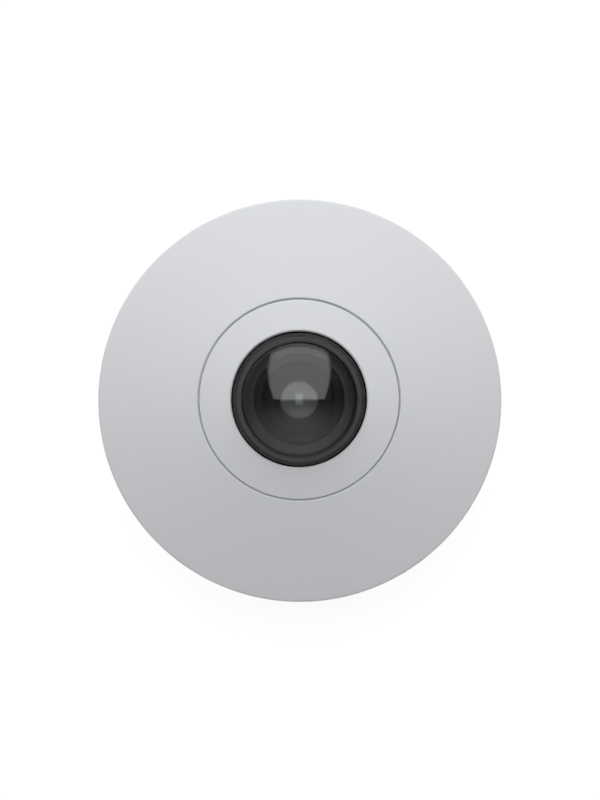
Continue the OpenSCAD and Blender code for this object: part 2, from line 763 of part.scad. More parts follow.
module lock_screw() {
    z = (ceiling_gap + floor_under) / 2;
    outer = side_r(z) - fit_gap * 2;
    inner = skirt_r - turn_gap / 2;
    color("dimgray") rotate([0, 0, lock_screw_angle]) translate([0, 0, z]) rotate([0, 90, 0])
        difference() {
            disc(lock_screw_r, inner, outer);
            translate([0, 0, (inner + outer) / 2]) cylinder(r = lock_screw_r * 0.55, h = outer, $fn = 6);
        }
}

module front_cover() {
    edge_deg = 90 - crown_outer_deg;
    edge_x = case_r - rim_edge_r;
    edge_start = edge_x + rim_edge_r * cos(edge_deg);
    edge_z = crown_z(edge_start) - rim_edge_r * sin(edge_deg);
    foot_z = base_band_h + parting_gap;
    inner_r = side_r(foot_z) - cover_wall;
    neck_r0 = ring_r + ring_groove + ledge_neck;
    color("whitesmoke") difference() {
        union() {
            rotate_extrude() polygon(concat(
                [[ledge_r, land_z - ledge_t], [ledge_r, land_z], [ring_r + ring_groove, land_z]],
                crown_points(ring_r + ring_groove, edge_start, 20, 0),
                arc_points(edge_x, edge_z, rim_edge_r, edge_deg * 6 / 7, 0, 6),
                [[side_r(foot_z), foot_z], [inner_r, foot_z]],
                crown_points(inner_r, neck_r0, 16, cover_wall),
                [[neck_r0, land_z - ledge_t]]
            ));
            for (a = cover_screw_angles) polar(cover_screw_r, a)
                disc(cover_boss_r - fit_gap, lip_top,
                    crown_z(cover_screw_r + cover_boss_r) - cover_wall / 2);
            for (i = [0:cover_gussets - 1]) rotate([0, 0, (i + 0.5) * 360 / cover_gussets])
                rotate_extrude(angle = arc_deg(bay_wall, neck_r0)) polygon([
                    [neck_r0 - sink, land_z - ledge_t],
                    [neck_r0 - sink, crown_z(neck_r0 - sink) - cover_wall / 2],
                    [neck_r0 + ledge_w * 4, crown_z(neck_r0 + ledge_w * 4) - cover_wall / 2],
                    [neck_r0 + ledge_w * 4, crown_z(neck_r0 + ledge_w * 4) - cover_wall]
                ]);
        }
        for (a = cover_screw_angles) polar(cover_screw_r, a)
            disc(cover_shank_r + thread_gap, lip_top - cut,
                floor_under + cover_head_h + cover_screw_l + bore_depth_gap * 2);
    }
}

module cover_screws() {
    color("dimgray") for (a = cover_screw_angles)
        polar(cover_screw_r, a) translate([0, 0, floor_under + cover_head_h + fit_gap * 2])
            mirror([0, 0, 1]) screw(cover_head_r, cover_head_h, cover_shank_r, cover_screw_l);
}

module ring_hook() {
    half = arc_deg(ring_hook_w / 2, ring_hook_r);
    barb_top = land_z - ledge_t - fit_gap;
    arc_block(ring_hook_r - ring_hook_t, ring_hook_r, barb_top - ring_barb,
        crown_z(ring_hook_r) - ring_t + sink, -half, half);
    rotate([0, 0, -half]) rotate_extrude(angle = half * 2) polygon([
        [ring_hook_r - sink, barb_top - ring_barb],
        [ring_hook_r + ring_barb * 0.3, barb_top - ring_barb],
        [ring_hook_r + ring_barb + fit_gap * 2, barb_top - ring_barb * 0.4],
        [ring_hook_r + ring_barb + fit_gap * 2, barb_top],
        [ring_hook_r - sink, barb_top]
    ]);
}

module lens_ring() {
    chamfer = ring_groove;
    step_r = ring_hook_r - ring_hook_t - fit_gap;
    inner_land_r = dome_flange_r + fit_gap;
    color("whitesmoke") difference() {
        union() {
            rotate_extrude() polygon(concat(
                [[opening_r, lip_z], [opening_r, opening_z - chamfer]],
                crown_points(opening_r + chamfer, ring_r, 10, 0),
                [[ring_r, land_z], [ledge_r - fit_gap * 2, land_z]],
                crown_points(step_r, inner_land_r, 4, ring_t),
                [[inner_land_r, lip_z]]
            ));
            for (i = [0:ring_hooks - 1]) rotate([0, 0, (i + 0.5) * 360 / ring_hooks]) ring_hook();
            for (i = [0:3]) polar(shroud_screw_r, 45 + i * 90)
                disc(ring_boss_r, dome_flange_z, crown_z(shroud_screw_r + ring_boss_r) - ring_t / 2);
        }
        for (i = [0:3]) polar(shroud_screw_r, 45 + i * 90)
            disc(small_shank_r + thread_gap, dome_flange_z - cut,
                shroud_flange_z + shroud_screw_l + fit_gap * 2);
    }
}

module dome_window() {
    color("lightcyan", 0.4) difference() {
        union() {
            intersection() {
                translate([0, 0, dome_centre_z]) sphere(r = dome_sphere_r);
                disc(dome_sphere_r + cut, dome_edge_z, dome_centre_z + dome_sphere_r + cut);
            }
            disc(dome_r, dome_flange_z, dome_edge_z);
            disc(dome_flange_r, dome_flange_z, dome_flange_top);
        }
        intersection() {
            translate([0, 0, dome_centre_z]) sphere(r = dome_sphere_r - dome_wall);
            disc(dome_in_r, dome_flange_z, dome_centre_z + dome_sphere_r);
        }
        disc(dome_in_r, dome_flange_z - cut, dome_edge_z - dome_wall);
    }
}

module dome_seal() {
    color("black") tube(dome_flange_r, opening_r, dome_flange_top, lip_z);
}

module lens_shroud() {
    color("dimgray") difference() {
        rotate_extrude() polygon([
            [shroud_hole_r, cone_z + shroud_cone_rise],
            [collar_in_r, cone_z],
            [collar_in_r, collar_top],
            [collar_r, collar_top],
            [collar_r, dome_flange_z],
            [shroud_flange_r, dome_flange_z],
            [shroud_flange_r, shroud_flange_z],
            [collar_in_r, shroud_flange_z],
            [collar_in_r, cone_z - shroud_cone_t],
            [shroud_hole_r, cone_z + shroud_cone_rise - shroud_cone_t]
        ]);
        for (i = [0:3]) polar(shroud_screw_r, 45 + i * 90)
            disc(small_shank_r + fit_gap, shroud_flange_z - cut, dome_flange_z + cut);
    }
}

module shroud_screws() {
    color("dimgray") for (i = [0:3]) polar(shroud_screw_r, 45 + i * 90)
        translate([0, 0, shroud_flange_z]) mirror([0, 0, 1])
            screw(small_head_r, small_head_h, small_shank_r, shroud_screw_l);
}

module front_element() {
    color("slategray", 0.5) difference() {
        intersection() {
            translate([0, 0, front_centre_z]) sphere(r = front_sphere_r);
            disc(front_r, front_seat, front_apex + cut);
        }
        translate([0, 0, hollow_centre_z]) sphere(r = front_hollow_r);
    }
}

module lens_retainer() {
    lip_z0 = front_apex - sag(front_sphere_r, retainer_lip_r) + glass_gap;
    seat_r = front_r + glass_gap * 2;
    seat_z = front_apex - sag(front_sphere_r, front_r) + glass_gap * 2;
    color("black") rotate_extrude() polygon([
        [head_r + glass_gap, front_seat - retainer_skirt],
        [retainer_r, front_seat - retainer_skirt],
        [retainer_r, lip_z0 - retainer_wall],
        [retainer_lip_r + retainer_wall / 2, lip_z0 + retainer_wall],
        [retainer_lip_r, lip_z0 + retainer_wall / 2],
        [retainer_lip_r, lip_z0],
        [seat_r, seat_z],
        [seat_r, head_top + glass_gap],
        [head_r + glass_gap, head_top + glass_gap]
    ]);
}

module lens_barrel() {
    lip = rear_seat - rear_z;
    color("black") rotate_extrude() polygon([
        [thread_r, rear_z],
        [thread_r, neck_z],
        [neck_r, neck_z],
        [neck_r, third_seat + neck_depth],
        [head_r, head_bottom],
        [head_r, head_top],
        [front_r + glass_gap, head_top],
        [front_r + glass_gap, front_seat],
        [second_r + glass_gap, front_seat],
        [second_r + glass_gap, second_seat],
        [second_r - second_edge_h, second_seat],
        [third_r + glass_gap, second_seat - second_edge_h],
        [third_r + glass_gap, third_seat],
        [stop_r + glass_gap, third_seat],
        [stop_r + glass_gap, stop_z],
        [rear_r + glass_gap, stop_z],
        [rear_r + glass_gap, rear_seat],
        [rear_r - lip, rear_seat],
        [rear_r - lip, rear_z]
    ]);
}

module second_element() {
    apex = second_seat + second_edge_h + sag(second_sphere_r, second_r);
    color("slategray", 0.5) difference() {
        intersection() {
            translate([0, 0, apex - second_sphere_r]) sphere(r = second_sphere_r);
            disc(second_r, second_seat, apex + cut);
        }
        translate([0, 0, second_seat + sag(second_hollow_r, second_r * 0.65) - second_hollow_r])
            sphere(r = second_hollow_r);
    }
}

module spacer_ring() {
    inner_r = second_r * 0.93;
    z = second_seat + second_edge_h + sag(second_sphere_r, second_r) - sag(second_sphere_r, inner_r);
    color("black") tube(second_r, inner_r, z + glass_gap, z + glass_gap + second_edge_h);
}

module third_element() {
    apex = third_seat + third_edge_h + sag(third_sphere_r, third_r);
    color("slategray", 0.5) intersection() {
        translate([0, 0, apex - third_sphere_r]) sphere(r = third_sphere_r);
        disc(third_r, third_seat, apex + cut);
    }
}

module aperture_stop() {
    color("black") tube(stop_r, pupil_r, stop_z, stop_z + stop_t);
}

module rear_elements() {
    gap = glass_gap * 2;
    color("slategray", 0.5) {
        disc(rear_r, rear_seat, rear_seat + rear_t);
        intersection() {
            translate([0, 0, rear_seat + 2 * rear_t + gap - rear_r * 2]) sphere(r = rear_r * 2);
            disc(rear_r, rear_seat + rear_t + gap, rear_seat + 2 * rear_t + gap);
        }
    }
}

module focus_lock_ring() {
    color("dimgray") difference() {
        tube(neck_r, thread_r + thread_gap, lock_ring_top - lock_ring_h, lock_ring_top);
        for (i = [0:3]) rotate([0, 0, i * 90])
            block(neck_r - retainer_wall, neck_r + cut, -retainer_wall, retainer_wall,
                lock_ring_top - lock_ring_h - cut, lock_ring_top + cut);
    }
}

module lens_holder() {
    color([0.12, 0.12, 0.13]) difference() {
        union() {
            rounded_block(-holder_x, holder_x, holder_near, holder_far,
                sensor_board_top, holder_top, holder_wall);
            disc(tube_r, holder_top - sink, tube_top);
            for (s = [-1, 1]) translate([s * lug_x, lug_y, 0])
                disc(lug_r, sensor_board_top, sensor_board_top + lug_h);
        }
        block(-frame_x - fit_gap, frame_x + fit_gap, frame_near - fit_gap, frame_far + fit_gap,
            sensor_board_top - cut, frame_top);
        disc(thread_r + thread_gap, frame_top - cut, tube_top + cut);
        for (s = [-1, 1]) translate([s * lug_x, lug_y, 0])
            disc(small_shank_r + thread_gap, sensor_board_top - cut, sensor_board_top + lug_h - fit_gap * 4);
    }
}

module holder_screws() {
    color("silver") for (s = [-1, 1]) translate([s * lug_x, lug_y, sensor_board_z])
        mirror([0, 0, 1]) screw(small_head_r, small_head_h, small_shank_r, sensor_screw_l);
}

module filter_frame() {
    inner_x = frame_x - frame_wall;
    window = filter_w - carrier_rim * 2;
    color([0.16, 0.16, 0.18]) difference() {
        block(-frame_x, frame_x, frame_near, frame_far, frame_z, frame_top);
        block(-inner_x, inner_x, -carrier_y - slide_gap * 2, carrier_y + slide_gap * 2,
            frame_z + frame_floor_t, frame_top + cut);
        block(-ear_x - ear_half - slide_gap * 2, inner_x, carrier_y, carrier_y + ear_l + slide_gap * 2,
            frame_z + frame_floor_t, frame_top + cut);
        block(0, inner_x, carrier_y, frame_far - frame_wall, frame_z + frame_floor_t, frame_top + cut);
        translate([0, rotor_y, 0])
            disc(rotor_r + slide_gap * 2, frame_z + frame_floor_t, frame_top + cut);
        block(-arm_r, arm_r, carrier_y, rotor_y, arm_z - slide_gap, frame_top + cut);
        block(-window / 2, window / 2, -window / 2, window / 2, frame_z - cut, frame_top);
    }
}

module filter_carrier() {
    half = filter_w / 2;
    inner = half - carrier_rim / 2;
    color([0.1, 0.1, 0.1]) difference() {
        union() {
            block(carrier_left, carrier_right, -carrier_y, carrier_y, carrier_z, carrier_top);
            block(ear_x - ear_half, ear_x + ear_half, carrier_y - sink, carrier_y + ear_l,
                carrier_z, carrier_top);
        }
        for (x = [0, filter_travel]) translate([x, 0, 0]) {
            block(-inner, inner, -inner, inner, carrier_z - cut, carrier_top + cut);
            block(-half, half, -half, half, carrier_top - filter_glass_t, carrier_top + cut);
        }
        block(ear_x - pin_slot_half, ear_x + pin_slot_half, rotor_y - arm_r - rotor_pin_r - slide_gap * 2,
            carrier_y + ear_l + cut, carrier_z - cut, carrier_top + cut);
    }
}

module filter_pane(x) {
    half = filter_w / 2 - glass_gap;
    block(x - half, x + half, -half, half, carrier_top - filter_glass_t, carrier_top);
}

module ir_cut_glass() {
    color([0.55, 0.75, 0.8], 0.6) filter_pane(0);
}

module clear_glass() {
    color([0.9, 0.93, 0.95], 0.4) filter_pane(filter_travel);
}

module filter_rotor() {
    color([0.3, 0.3, 0.32]) translate([0, rotor_y, 0]) {
        disc(rotor_r, frame_z + frame_floor_t + slide_gap, frame_top - slide_gap);
        rotate([0, 0, rotor_angle]) {
            block(rotor_r - sink, arm_r, -rotor_pin_r, rotor_pin_r, arm_z, arm_z + arm_t);
            translate([arm_r, 0, 0]) disc(rotor_pin_r, carrier_z + slide_gap, arm_z + arm_t);
        }
    }
}

module filter_coil() {
    left = rotor_r + slide_gap * 4;
    z = frame_z + frame_floor_t + coil_r;
    color([0.72, 0.42, 0.2]) translate([left, rotor_y, z]) rotate([0, 90, 0]) {
        disc(coil_r * 0.5, 0, coil_l);
        disc(coil_r, coil_l * 0.1, coil_l * 0.9);
    }
}

module image_sensor() {
    color([0.2, 0.22, 0.26]) block(-sensor_w / 2, sensor_w / 2, -sensor_l / 2, sensor_l / 2,
        sensor_board_top, sensor_board_top + sensor_t);
}

module sensor_glass() {
    x = sensor_w / 2 - sensor_t / 2;
    y = sensor_l / 2 - sensor_t / 2;
    color([0.6, 0.7, 0.8], 0.5) block(-x, x, -y, y, sensor_board_top + sensor_t, sensor_top);
}

module sensor_board() {
    color([0.05, 0.3, 0.18]) difference() {
        rounded_block(-sensor_board_w / 2, sensor_board_w / 2, -sensor_board_near, sensor_board_far,
            sensor_board_z, sensor_board_top, sensor_post_r);
        for (x = [-1, 1])
            for (y = [sensor_screw_near, sensor_screw_far])
                translate([x * sensor_screw_x, y, 0])
                    disc(small_shank_r + fit_gap, sensor_board_z - cut, sensor_board_top + cut);
        for (s = [-1, 1]) translate([s * lug_x, lug_y, 0])
            disc(small_shank_r + fit_gap, sensor_board_z - cut, sensor_board_top + cut);
    }
}

module sensor_board_screws() {
    color("silver") for (x = [-1, 1])
        for (y = [sensor_screw_near, sensor_screw_far])
            translate([x * sensor_screw_x, y, sensor_board_top])
                screw(small_head_r, small_head_h, small_shank_r, sensor_screw_l);
}

module sensor_connector() {
    y1 = sensor_board_far - fit_gap;
    color("ivory") difference() {
        block(-flex_w / 2 - flex_t * 3, flex_w / 2 + flex_t * 3, y1 - connector_l, y1,
            sensor_board_top, sensor_board_top + connector_h);
        block(-flex_w / 2 - fit_gap, flex_w / 2 + fit_gap, y1 - connector_l * 0.6, y1 + cut,
            sensor_board_top + connector_h * 0.5 - flex_t, sensor_board_top + connector_h * 0.5 + flex_t);
    }
}

module flex_cable() {
    half = flex_t / 2;
    inner = flex_bend - half;
    outer = flex_bend + half;
    low_y = flex_rise_y - flex_bend;
    high_y = flex_rise_y + flex_bend;
    color("orange") translate([-flex_w / 2, 0, 0]) rotate([90, 0, 90]) linear_extrude(flex_w) polygon(concat(
        [[flex_start_y, flex_low - half]],
        arc_points(low_y, flex_low + flex_bend, outer, -90, 0, 8),
        arc_points(high_y, flex_high - flex_bend, inner, 180, 90, 8),
        [[flex_end_y + connector_l * 0.4, flex_high - half], [flex_end_y + connector_l * 0.4, flex_high + half]],
        arc_points(high_y, flex_high - flex_bend, outer, 90, 180, 8),
        arc_points(low_y, flex_low + flex_bend, inner, 0, -90, 8),
        [[flex_start_y, flex_low + half]]
    ));
}

module board_connector() {
    color("ivory") difference() {
        block(-flex_w / 2 - flex_t * 3, flex_w / 2 + flex_t * 3, flex_end_y, flex_end_y + connector_l,
            board_z - connector_h, board_z);
        block(-flex_w / 2 - fit_gap, flex_w / 2 + fit_gap, flex_end_y - cut, flex_end_y + connector_l * 0.6,
            flex_high - flex_t, flex_high + flex_t);
    }
}

module main_board() {
    color([0.05, 0.35, 0.2]) difference() {
        disc(board_r, board_z, board_top);
        disc(board_hole_d / 2, board_z - cut, board_top + cut);
        for (a = board_screw_angles) polar(board_screw_r, a)
            disc(board_shank_r + fit_gap, board_z - cut, board_top + cut);
    }
}

module board_screws() {
    color("silver") for (a = board_screw_angles) polar(board_screw_r, a) translate([0, 0, board_top])
        screw(board_head_r, board_head_h, board_shank_r, board_screw_l);
}

module processor() {
    half = processor_w / 2;
    color([0.1, 0.1, 0.11]) block(processor_x - half, processor_x + half, -half, half,
        board_z - processor_t, board_z);
}

module thermal_pad() {
    half = processor_w / 2 - pad_t / 2;
    color([0.6, 0.65, 0.72]) block(processor_x - half, processor_x + half, -half, half,
        board_z - processor_t - pad_t, board_z - processor_t);
}

module memory_chips() {
    color([0.1, 0.1, 0.11]) for (s = [-1, 1]) translate([chip_x, s * chip_y, 0])
        block(-chip_w / 2, chip_w / 2, -chip_l / 2, chip_l / 2, board_z - chip_t, board_z);
}

module network_jack() {
    z0 = board_z - jack_h;
    color([0.13, 0.13, 0.14]) difference() {
        block(jack_back, -bay_left, jack_y - jack_w / 2, jack_y + jack_w / 2, z0, board_z);
        block(-bay_left - mouth_l, -bay_left + cut, jack_y - mouth_w / 2, jack_y + mouth_w / 2,
            mouth_z, mouth_z + mouth_h);
        block(-bay_left - mouth_l, -bay_left + cut, jack_y - latch_w / 2, jack_y + latch_w / 2,
            mouth_z - latch_h, mouth_z + cut);
    }
}

module jack_contacts() {
    pitch = mouth_w / 11;
    wire = pitch * 0.4;
    top = mouth_z + mouth_h;
    back = -bay_left - mouth_l;
    color("gold") for (i = [0:7]) translate([0, jack_y + (i - 3.5) * pitch - wire / 2, 0])
        translate([0, wire, 0]) rotate([90, 0, 0]) linear_extrude(wire) polygon([
            [back, top - mouth_h * 0.35 - wire],
            [back, top - mouth_h * 0.35],
            [back + mouth_l * 0.75, top],
            [back + mouth_l * 0.75 + wire * 2, top],
            [back + mouth_l * 0.75 + wire * 2, top - wire],
            [back + mouth_l * 0.75, top - wire]
        ]);
}

module transformer_core() {
    leg = transformer_l * 0.16;
    z0 = board_z - transformer_h;
    color([0.25, 0.25, 0.27]) translate([transformer_x, transformer_y, 0]) difference() {
        block(-transformer_l / 2, transformer_l / 2, -transformer_w / 2, transformer_w / 2, z0, board_z);
        for (s = [-1, 1]) block(s * transformer_l * 0.23 - leg, s * transformer_l * 0.23 + leg,
            -transformer_w, transformer_w, z0 + leg, board_z - leg);
    }
}

module transformer_winding() {
    leg = transformer_l * 0.16;
    post = transformer_l * 0.07 + glass_gap;
    reach = transformer_l * 0.23 + leg - glass_gap;
    z0 = board_z - transformer_h + leg + glass_gap;
    z1 = board_z - leg - glass_gap;
    y = transformer_w / 2;
    color("goldenrod") translate([transformer_x, transformer_y, 0]) for (s = [-1, 1])
        block(min(s * post, s * reach), max(s * post, s * reach), -y, y, z0, z1);
}

module capacitors() {
    r = capacitor_d / 2;
    color([0.15, 0.2, 0.4]) for (a = capacitor_angles) polar(capacitor_r, a)
        translate([0, 0, board_z]) mirror([0, 0, 1]) rotate_extrude() polygon([
            [0, 0], [r, 0], [r, capacitor_h * 0.1], [r * 0.9, capacitor_h * 0.16],
            [r, capacitor_h * 0.22], [r, capacitor_h * 0.96], [r * 0.94, capacitor_h], [0, capacitor_h]
        ]);
}

module inductors() {
    color([0.3, 0.3, 0.3]) for (a = inductor_angles) polar(inductor_r, a)
        rounded_block(-inductor_w / 2, inductor_w / 2, -inductor_w / 2, inductor_w / 2,
            board_z - inductor_h, board_z, inductor_w * 0.15);
}

module card_slot() {
    color("silver") difference() {
        block(card_slot_x, card_slot_x + card_slot_l, card_slot_y - card_slot_w / 2,
            card_slot_y + card_slot_w / 2, board_z - card_slot_h, board_z);
        block(card_slot_x - cut, card_slot_x + card_slot_l - card_slot_wall + slide_gap,
            card_slot_y - card_w / 2 - slide_gap, card_slot_y + card_w / 2 + slide_gap,
            card_z - slide_gap, card_z + card_t + slide_gap);
    }
}

module memory_card() {
    y0 = card_slot_y - card_w / 2;
    y1 = card_slot_y + card_w / 2;
    notch = card_w * 0.12;
    color([0.12, 0.12, 0.12]) translate([card_x, 0, card_z]) linear_extrude(card_t) polygon([
        [0, y0], [card_l, y0], [card_l, y1 - notch], [card_l * 0.55, y1 - notch],
        [card_l * 0.45, y1], [0, y1]
    ]);
}

module button_switch() {
    half = switch_w / 2;
    color([0.2, 0.2, 0.22]) translate([button_x, button_y, 0]) difference() {
        block(-half, half, -half, half, board_z - switch_h, board_z);
        disc(button_d / 2 + slide_gap, board_z - switch_h - cut, board_z - switch_h * 0.4);
    }
}

module control_button() {
    z1 = board_z - switch_h * 0.4 - button_travel - slide_gap;
    color("ivory") translate([button_x, button_y, 0])
        disc(button_d / 2, board_z - switch_h - button_h, z1);
}

module status_light() {
    half = button_d / 4;
    color([0.7, 0.95, 0.7]) translate([light_x, button_y, 0])
        block(-half, half, -half, half, board_z - half, board_z);
}

mounting_plate();
base_housing();
cable_hatch();
lock_screw();
front_cover();
cover_screws();
lens_ring();
dome_window();
dome_seal();
lens_shroud();
shroud_screws();
front_element();
lens_retainer();
lens_barrel();
second_element();
spacer_ring();
third_element();
aperture_stop();
rear_elements();
focus_lock_ring();
lens_holder();
holder_screws();
filter_frame();
filter_carrier();
ir_cut_glass();
clear_glass();
filter_rotor();
filter_coil();
image_sensor();
sensor_glass();
sensor_board();
sensor_board_screws();
sensor_connector();
flex_cable();
board_connector();
main_board();
board_screws();
processor();
thermal_pad();
memory_chips();
network_jack();
jack_contacts();
transformer_core();
transformer_winding();
capacitors();
inductors();
card_slot();
memory_card();
button_switch();
control_button();
status_light();
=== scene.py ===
"""Ceiling camera with a wide-angle lens under a clear dome: its finishes, fine outer pieces and studio.

The optical axis is Z, the back of the mounting plate lies on z = 0, and the cable leaves on the -Y side.
Sizes are written in millimetres and turned to metres by MM. WELD and the sizes and places of the lamp and
the camera are in metres.
"""
import json
import math

import bmesh
import bpy
from mathutils import Matrix, Vector

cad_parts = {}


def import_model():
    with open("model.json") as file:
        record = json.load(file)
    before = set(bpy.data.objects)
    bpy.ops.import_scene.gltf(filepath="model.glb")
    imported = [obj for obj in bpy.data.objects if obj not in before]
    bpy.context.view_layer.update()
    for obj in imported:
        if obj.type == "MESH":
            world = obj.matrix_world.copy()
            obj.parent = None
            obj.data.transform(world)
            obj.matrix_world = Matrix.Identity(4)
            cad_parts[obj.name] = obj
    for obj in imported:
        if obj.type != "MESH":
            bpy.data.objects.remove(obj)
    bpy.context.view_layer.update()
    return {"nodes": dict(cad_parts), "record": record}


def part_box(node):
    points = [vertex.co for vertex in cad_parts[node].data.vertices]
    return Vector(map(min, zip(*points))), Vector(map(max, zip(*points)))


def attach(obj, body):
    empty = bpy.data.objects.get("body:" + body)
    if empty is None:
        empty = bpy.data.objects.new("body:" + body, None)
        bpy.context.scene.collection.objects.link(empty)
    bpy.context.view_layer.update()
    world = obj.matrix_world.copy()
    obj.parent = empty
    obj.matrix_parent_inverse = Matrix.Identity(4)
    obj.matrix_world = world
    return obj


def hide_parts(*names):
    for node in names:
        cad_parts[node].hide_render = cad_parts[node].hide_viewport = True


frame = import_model()

MM = 0.001


def node_box(name):
    """Lowest and highest corner of a construction piece, in millimetres."""
    low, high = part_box(name)
    return low / MM, high / MM


# Casing. The crown's slope grows evenly from the dome's opening out to the rim.

COVER_LOW, COVER_HIGH = node_box("front_cover")
CASE_R = COVER_HIGH.x
RING_R = node_box("lens_ring")[1].x
GROOVE_W = 0.6
GROOVE_RIB = 1.35
OPENING_R = 22.3
CROWN_INNER = math.tan(math.radians(10.5))
CROWN_OUTER = math.tan(math.radians(13))
SLOPE_GROWTH = (CROWN_OUTER - CROWN_INNER) / (2 * (CASE_R - OPENING_R))
SIDE_LEAN = 0.9
COVER_WALL = 2.4
COVER_FOOT = COVER_LOW.z
RING_T = 2.0
RING_AIR = 0.05
LEDGE_REACH = 1.9
LEDGE_R = RING_R - LEDGE_REACH
LEDGE_T = 1.6


def crown_rise(r):
    """Height of the crown over the rim, at a distance from the axis."""
    return (CROWN_INNER * (CASE_R - r)
            + SLOPE_GROWTH * ((CASE_R - OPENING_R) ** 2 - (r - OPENING_R) ** 2))


RIM_Z = COVER_HIGH.z - crown_rise(RING_R + GROOVE_W)
LAND_Z = RIM_Z + crown_rise(RING_R) - RING_T
LEDGE_Z = LAND_Z - LEDGE_T
OPENING_Z = RIM_Z + crown_rise(OPENING_R)


def crown_z(r):
    """Height of the crown's outer face at a distance from the axis."""
    return RIM_Z + crown_rise(r)


def crown_points(r0, r1, steps, drop=0.0):
    """Points along the crown, or along its underside at a depth below it."""
    radii = [r0 + (r1 - r0) * i / steps for i in range(steps + 1)]
    return [(r, crown_z(r) - drop) for r in radii]


def side_r(z):
    """Radius of the leaning side wall at a height."""
    return CASE_R - SIDE_LEAN * (RIM_Z - z) / RIM_Z


def sphere_points(centre, radius, r0, r1, steps):
    """Points along the upper half of a sphere on the axis, from one distance to another."""
    start, end = math.asin(r0 / radius), math.asin(r1 / radius)
    angles = [start + (end - start) * i / steps for i in range(steps + 1)]
    return [(radius * math.sin(a), centre + radius * math.cos(a)) for a in angles]


# Edge radii, as moulds and turning tools leave them, and the room that they take on the crown

RIM_EDGE = 0.8
SHOULDER_EDGE = 0.4
SOFT_EDGE = 0.3
GROOVE_EDGE = 0.25
EDGE = 0.2
TURNED_EDGE = 0.15
FINE_EDGE = 0.1
RIM_ROOM = 2.0
EDGE_ROOM = 1.0


# Mesh tools

TURN_STEPS = 256
WELD = 1e-7


def add_outline(mesh, outline):
    """A closed outline in the XZ plane, of (r, z) corners, or (r, z, radius) where a corner is rounded."""
    corners = [mesh.verts.new((p[0] * MM, 0, p[1] * MM)) for p in outline]
    for a, b in zip(corners, corners[1:] + corners[:1]):
        mesh.edges.new((a, b))
    reaches = {}
    for i, point in enumerate(outline):
        if len(point) == 3:
            before = corners[i - 1].co - corners[i].co
            after = corners[(i + 1) % len(corners)].co - corners[i].co
            reaches[corners[i]] = point[2] * MM / math.tan(before.angle(after) / 2)
    for corner, reach in reaches.items():
        bmesh.ops.bevel(mesh, geom=[corner], offset=reach, offset_type="OFFSET", segments=4,
                        profile=0.5, affect="VERTICES", clamp_overlap=True, material=-1)


def turned(outline, centre=(0, 0), steps=TURN_STEPS):
    """A closed solid of revolution about an upright axis through a centre."""
    mesh = bmesh.new()
    add_outline(mesh, outline)
    bmesh.ops.spin(mesh, geom=mesh.verts[:] + mesh.edges[:], cent=(0, 0, 0), axis=(0, 0, 1),
                   angle=2 * math.pi, steps=steps, use_merge=True)
    bmesh.ops.remove_doubles(mesh, verts=mesh.verts, dist=WELD)
    bmesh.ops.translate(mesh, verts=mesh.verts, vec=(centre[0] * MM, centre[1] * MM, 0))
    return mesh


def slab(outline, width, angle):
    """A flat outline of (r, z) corners made as thick as a width, and turned about Z by an angle."""
    mesh = bmesh.new()
    add_outline(mesh, outline)
    bmesh.ops.contextual_create(mesh, geom=mesh.edges[:])
    side = bmesh.ops.extrude_face_region(mesh, geom=mesh.faces[:])
    verts = [g for g in side["geom"] if isinstance(g, bmesh.types.BMVert)]
    bmesh.ops.translate(mesh, verts=verts, vec=(0, width * MM, 0))
    bmesh.ops.translate(mesh, verts=mesh.verts, vec=(0, -width * MM / 2, 0))
    turn = Matrix.Rotation(math.radians(angle), 3, "Z")
    bmesh.ops.rotate(mesh, verts=mesh.verts, cent=(0, 0, 0), matrix=turn)
    return mesh


def piece(name, slot, parts, replaces, body="camera", edge_finish=None, edge_test=None):
    """One piece of closed parts, in its slot's finish. It takes the place of construction pieces."""
    data = bpy.data.meshes.new(name)
    whole = bmesh.new()
    for part in parts:
        bmesh.ops.recalc_face_normals(part, faces=part.faces)
        part.to_mesh(data)
        part.free()
        whole.from_mesh(data)
    whole.to_mesh(data)
    whole.free()
    data.polygons.foreach_set("use_smooth", [True] * len(data.polygons))
    data.materials.clear()
    data.materials.append(FINISHES[slot])
    if edge_finish:
        data.materials.append(edge_finish)
        for polygon in data.polygons:
            polygon.material_index = int(edge_test(polygon.center / MM, polygon.normal))
    made = bpy.data.objects.new(name, data)
    bpy.context.scene.collection.objects.link(made)
    weighted = made.modifiers.new("flat_faces_stay_flat", "WEIGHTED_NORMAL")
    weighted.weight = 50
    weighted.keep_sharp = True
    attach(made, body)
    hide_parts(*replaces)
    return made


# Material tools

NOISE_LOW = 0.3
NOISE_HIGH = 0.7
WAVE_LENGTH = 0.31


def linear(code):
    """The linear colour of an sRGB hex code."""
    shares = [int(code[i:i + 2], 16) / 255 for i in (0, 2, 4)]
    return [c / 12.92 if c <= 0.04045 else ((c + 0.055) / 1.055) ** 2.4 for c in shares] + [1.0]


def add(tree, kind, inputs=None, **settings):
    """A shader node with its settings. Inputs are values, or other nodes' outputs to link.

    A Mix node takes numbers at 2 and 3 and colours at 6 and 7, and gives its colour at 2.
    """
    made = tree.nodes.new("ShaderNode" + kind)
    for key, value in settings.items():
        setattr(made, key, value)
    for key, value in (inputs or {}).items():
        if isinstance(value, bpy.types.NodeSocket):
            tree.links.new(value, made.inputs[key])
        else:
            made.inputs[key].default_value = value
    return made


def start_material(name, code, **surface):
    """A material with its Principled surface. Surface values go onto the sockets of that name."""
    material = bpy.data.materials.new(name)
    material.use_nodes = True
    tree = material.node_tree
    shader = tree.nodes["Principled BSDF"]
    shader.inputs["Base Color"].default_value = linear(code)
    for key, value in surface.items():
        shader.inputs[key.replace("_", " ")].default_value = value
    place = add(tree, "TexCoord").outputs["Object"]
    return material, tree, shader, place


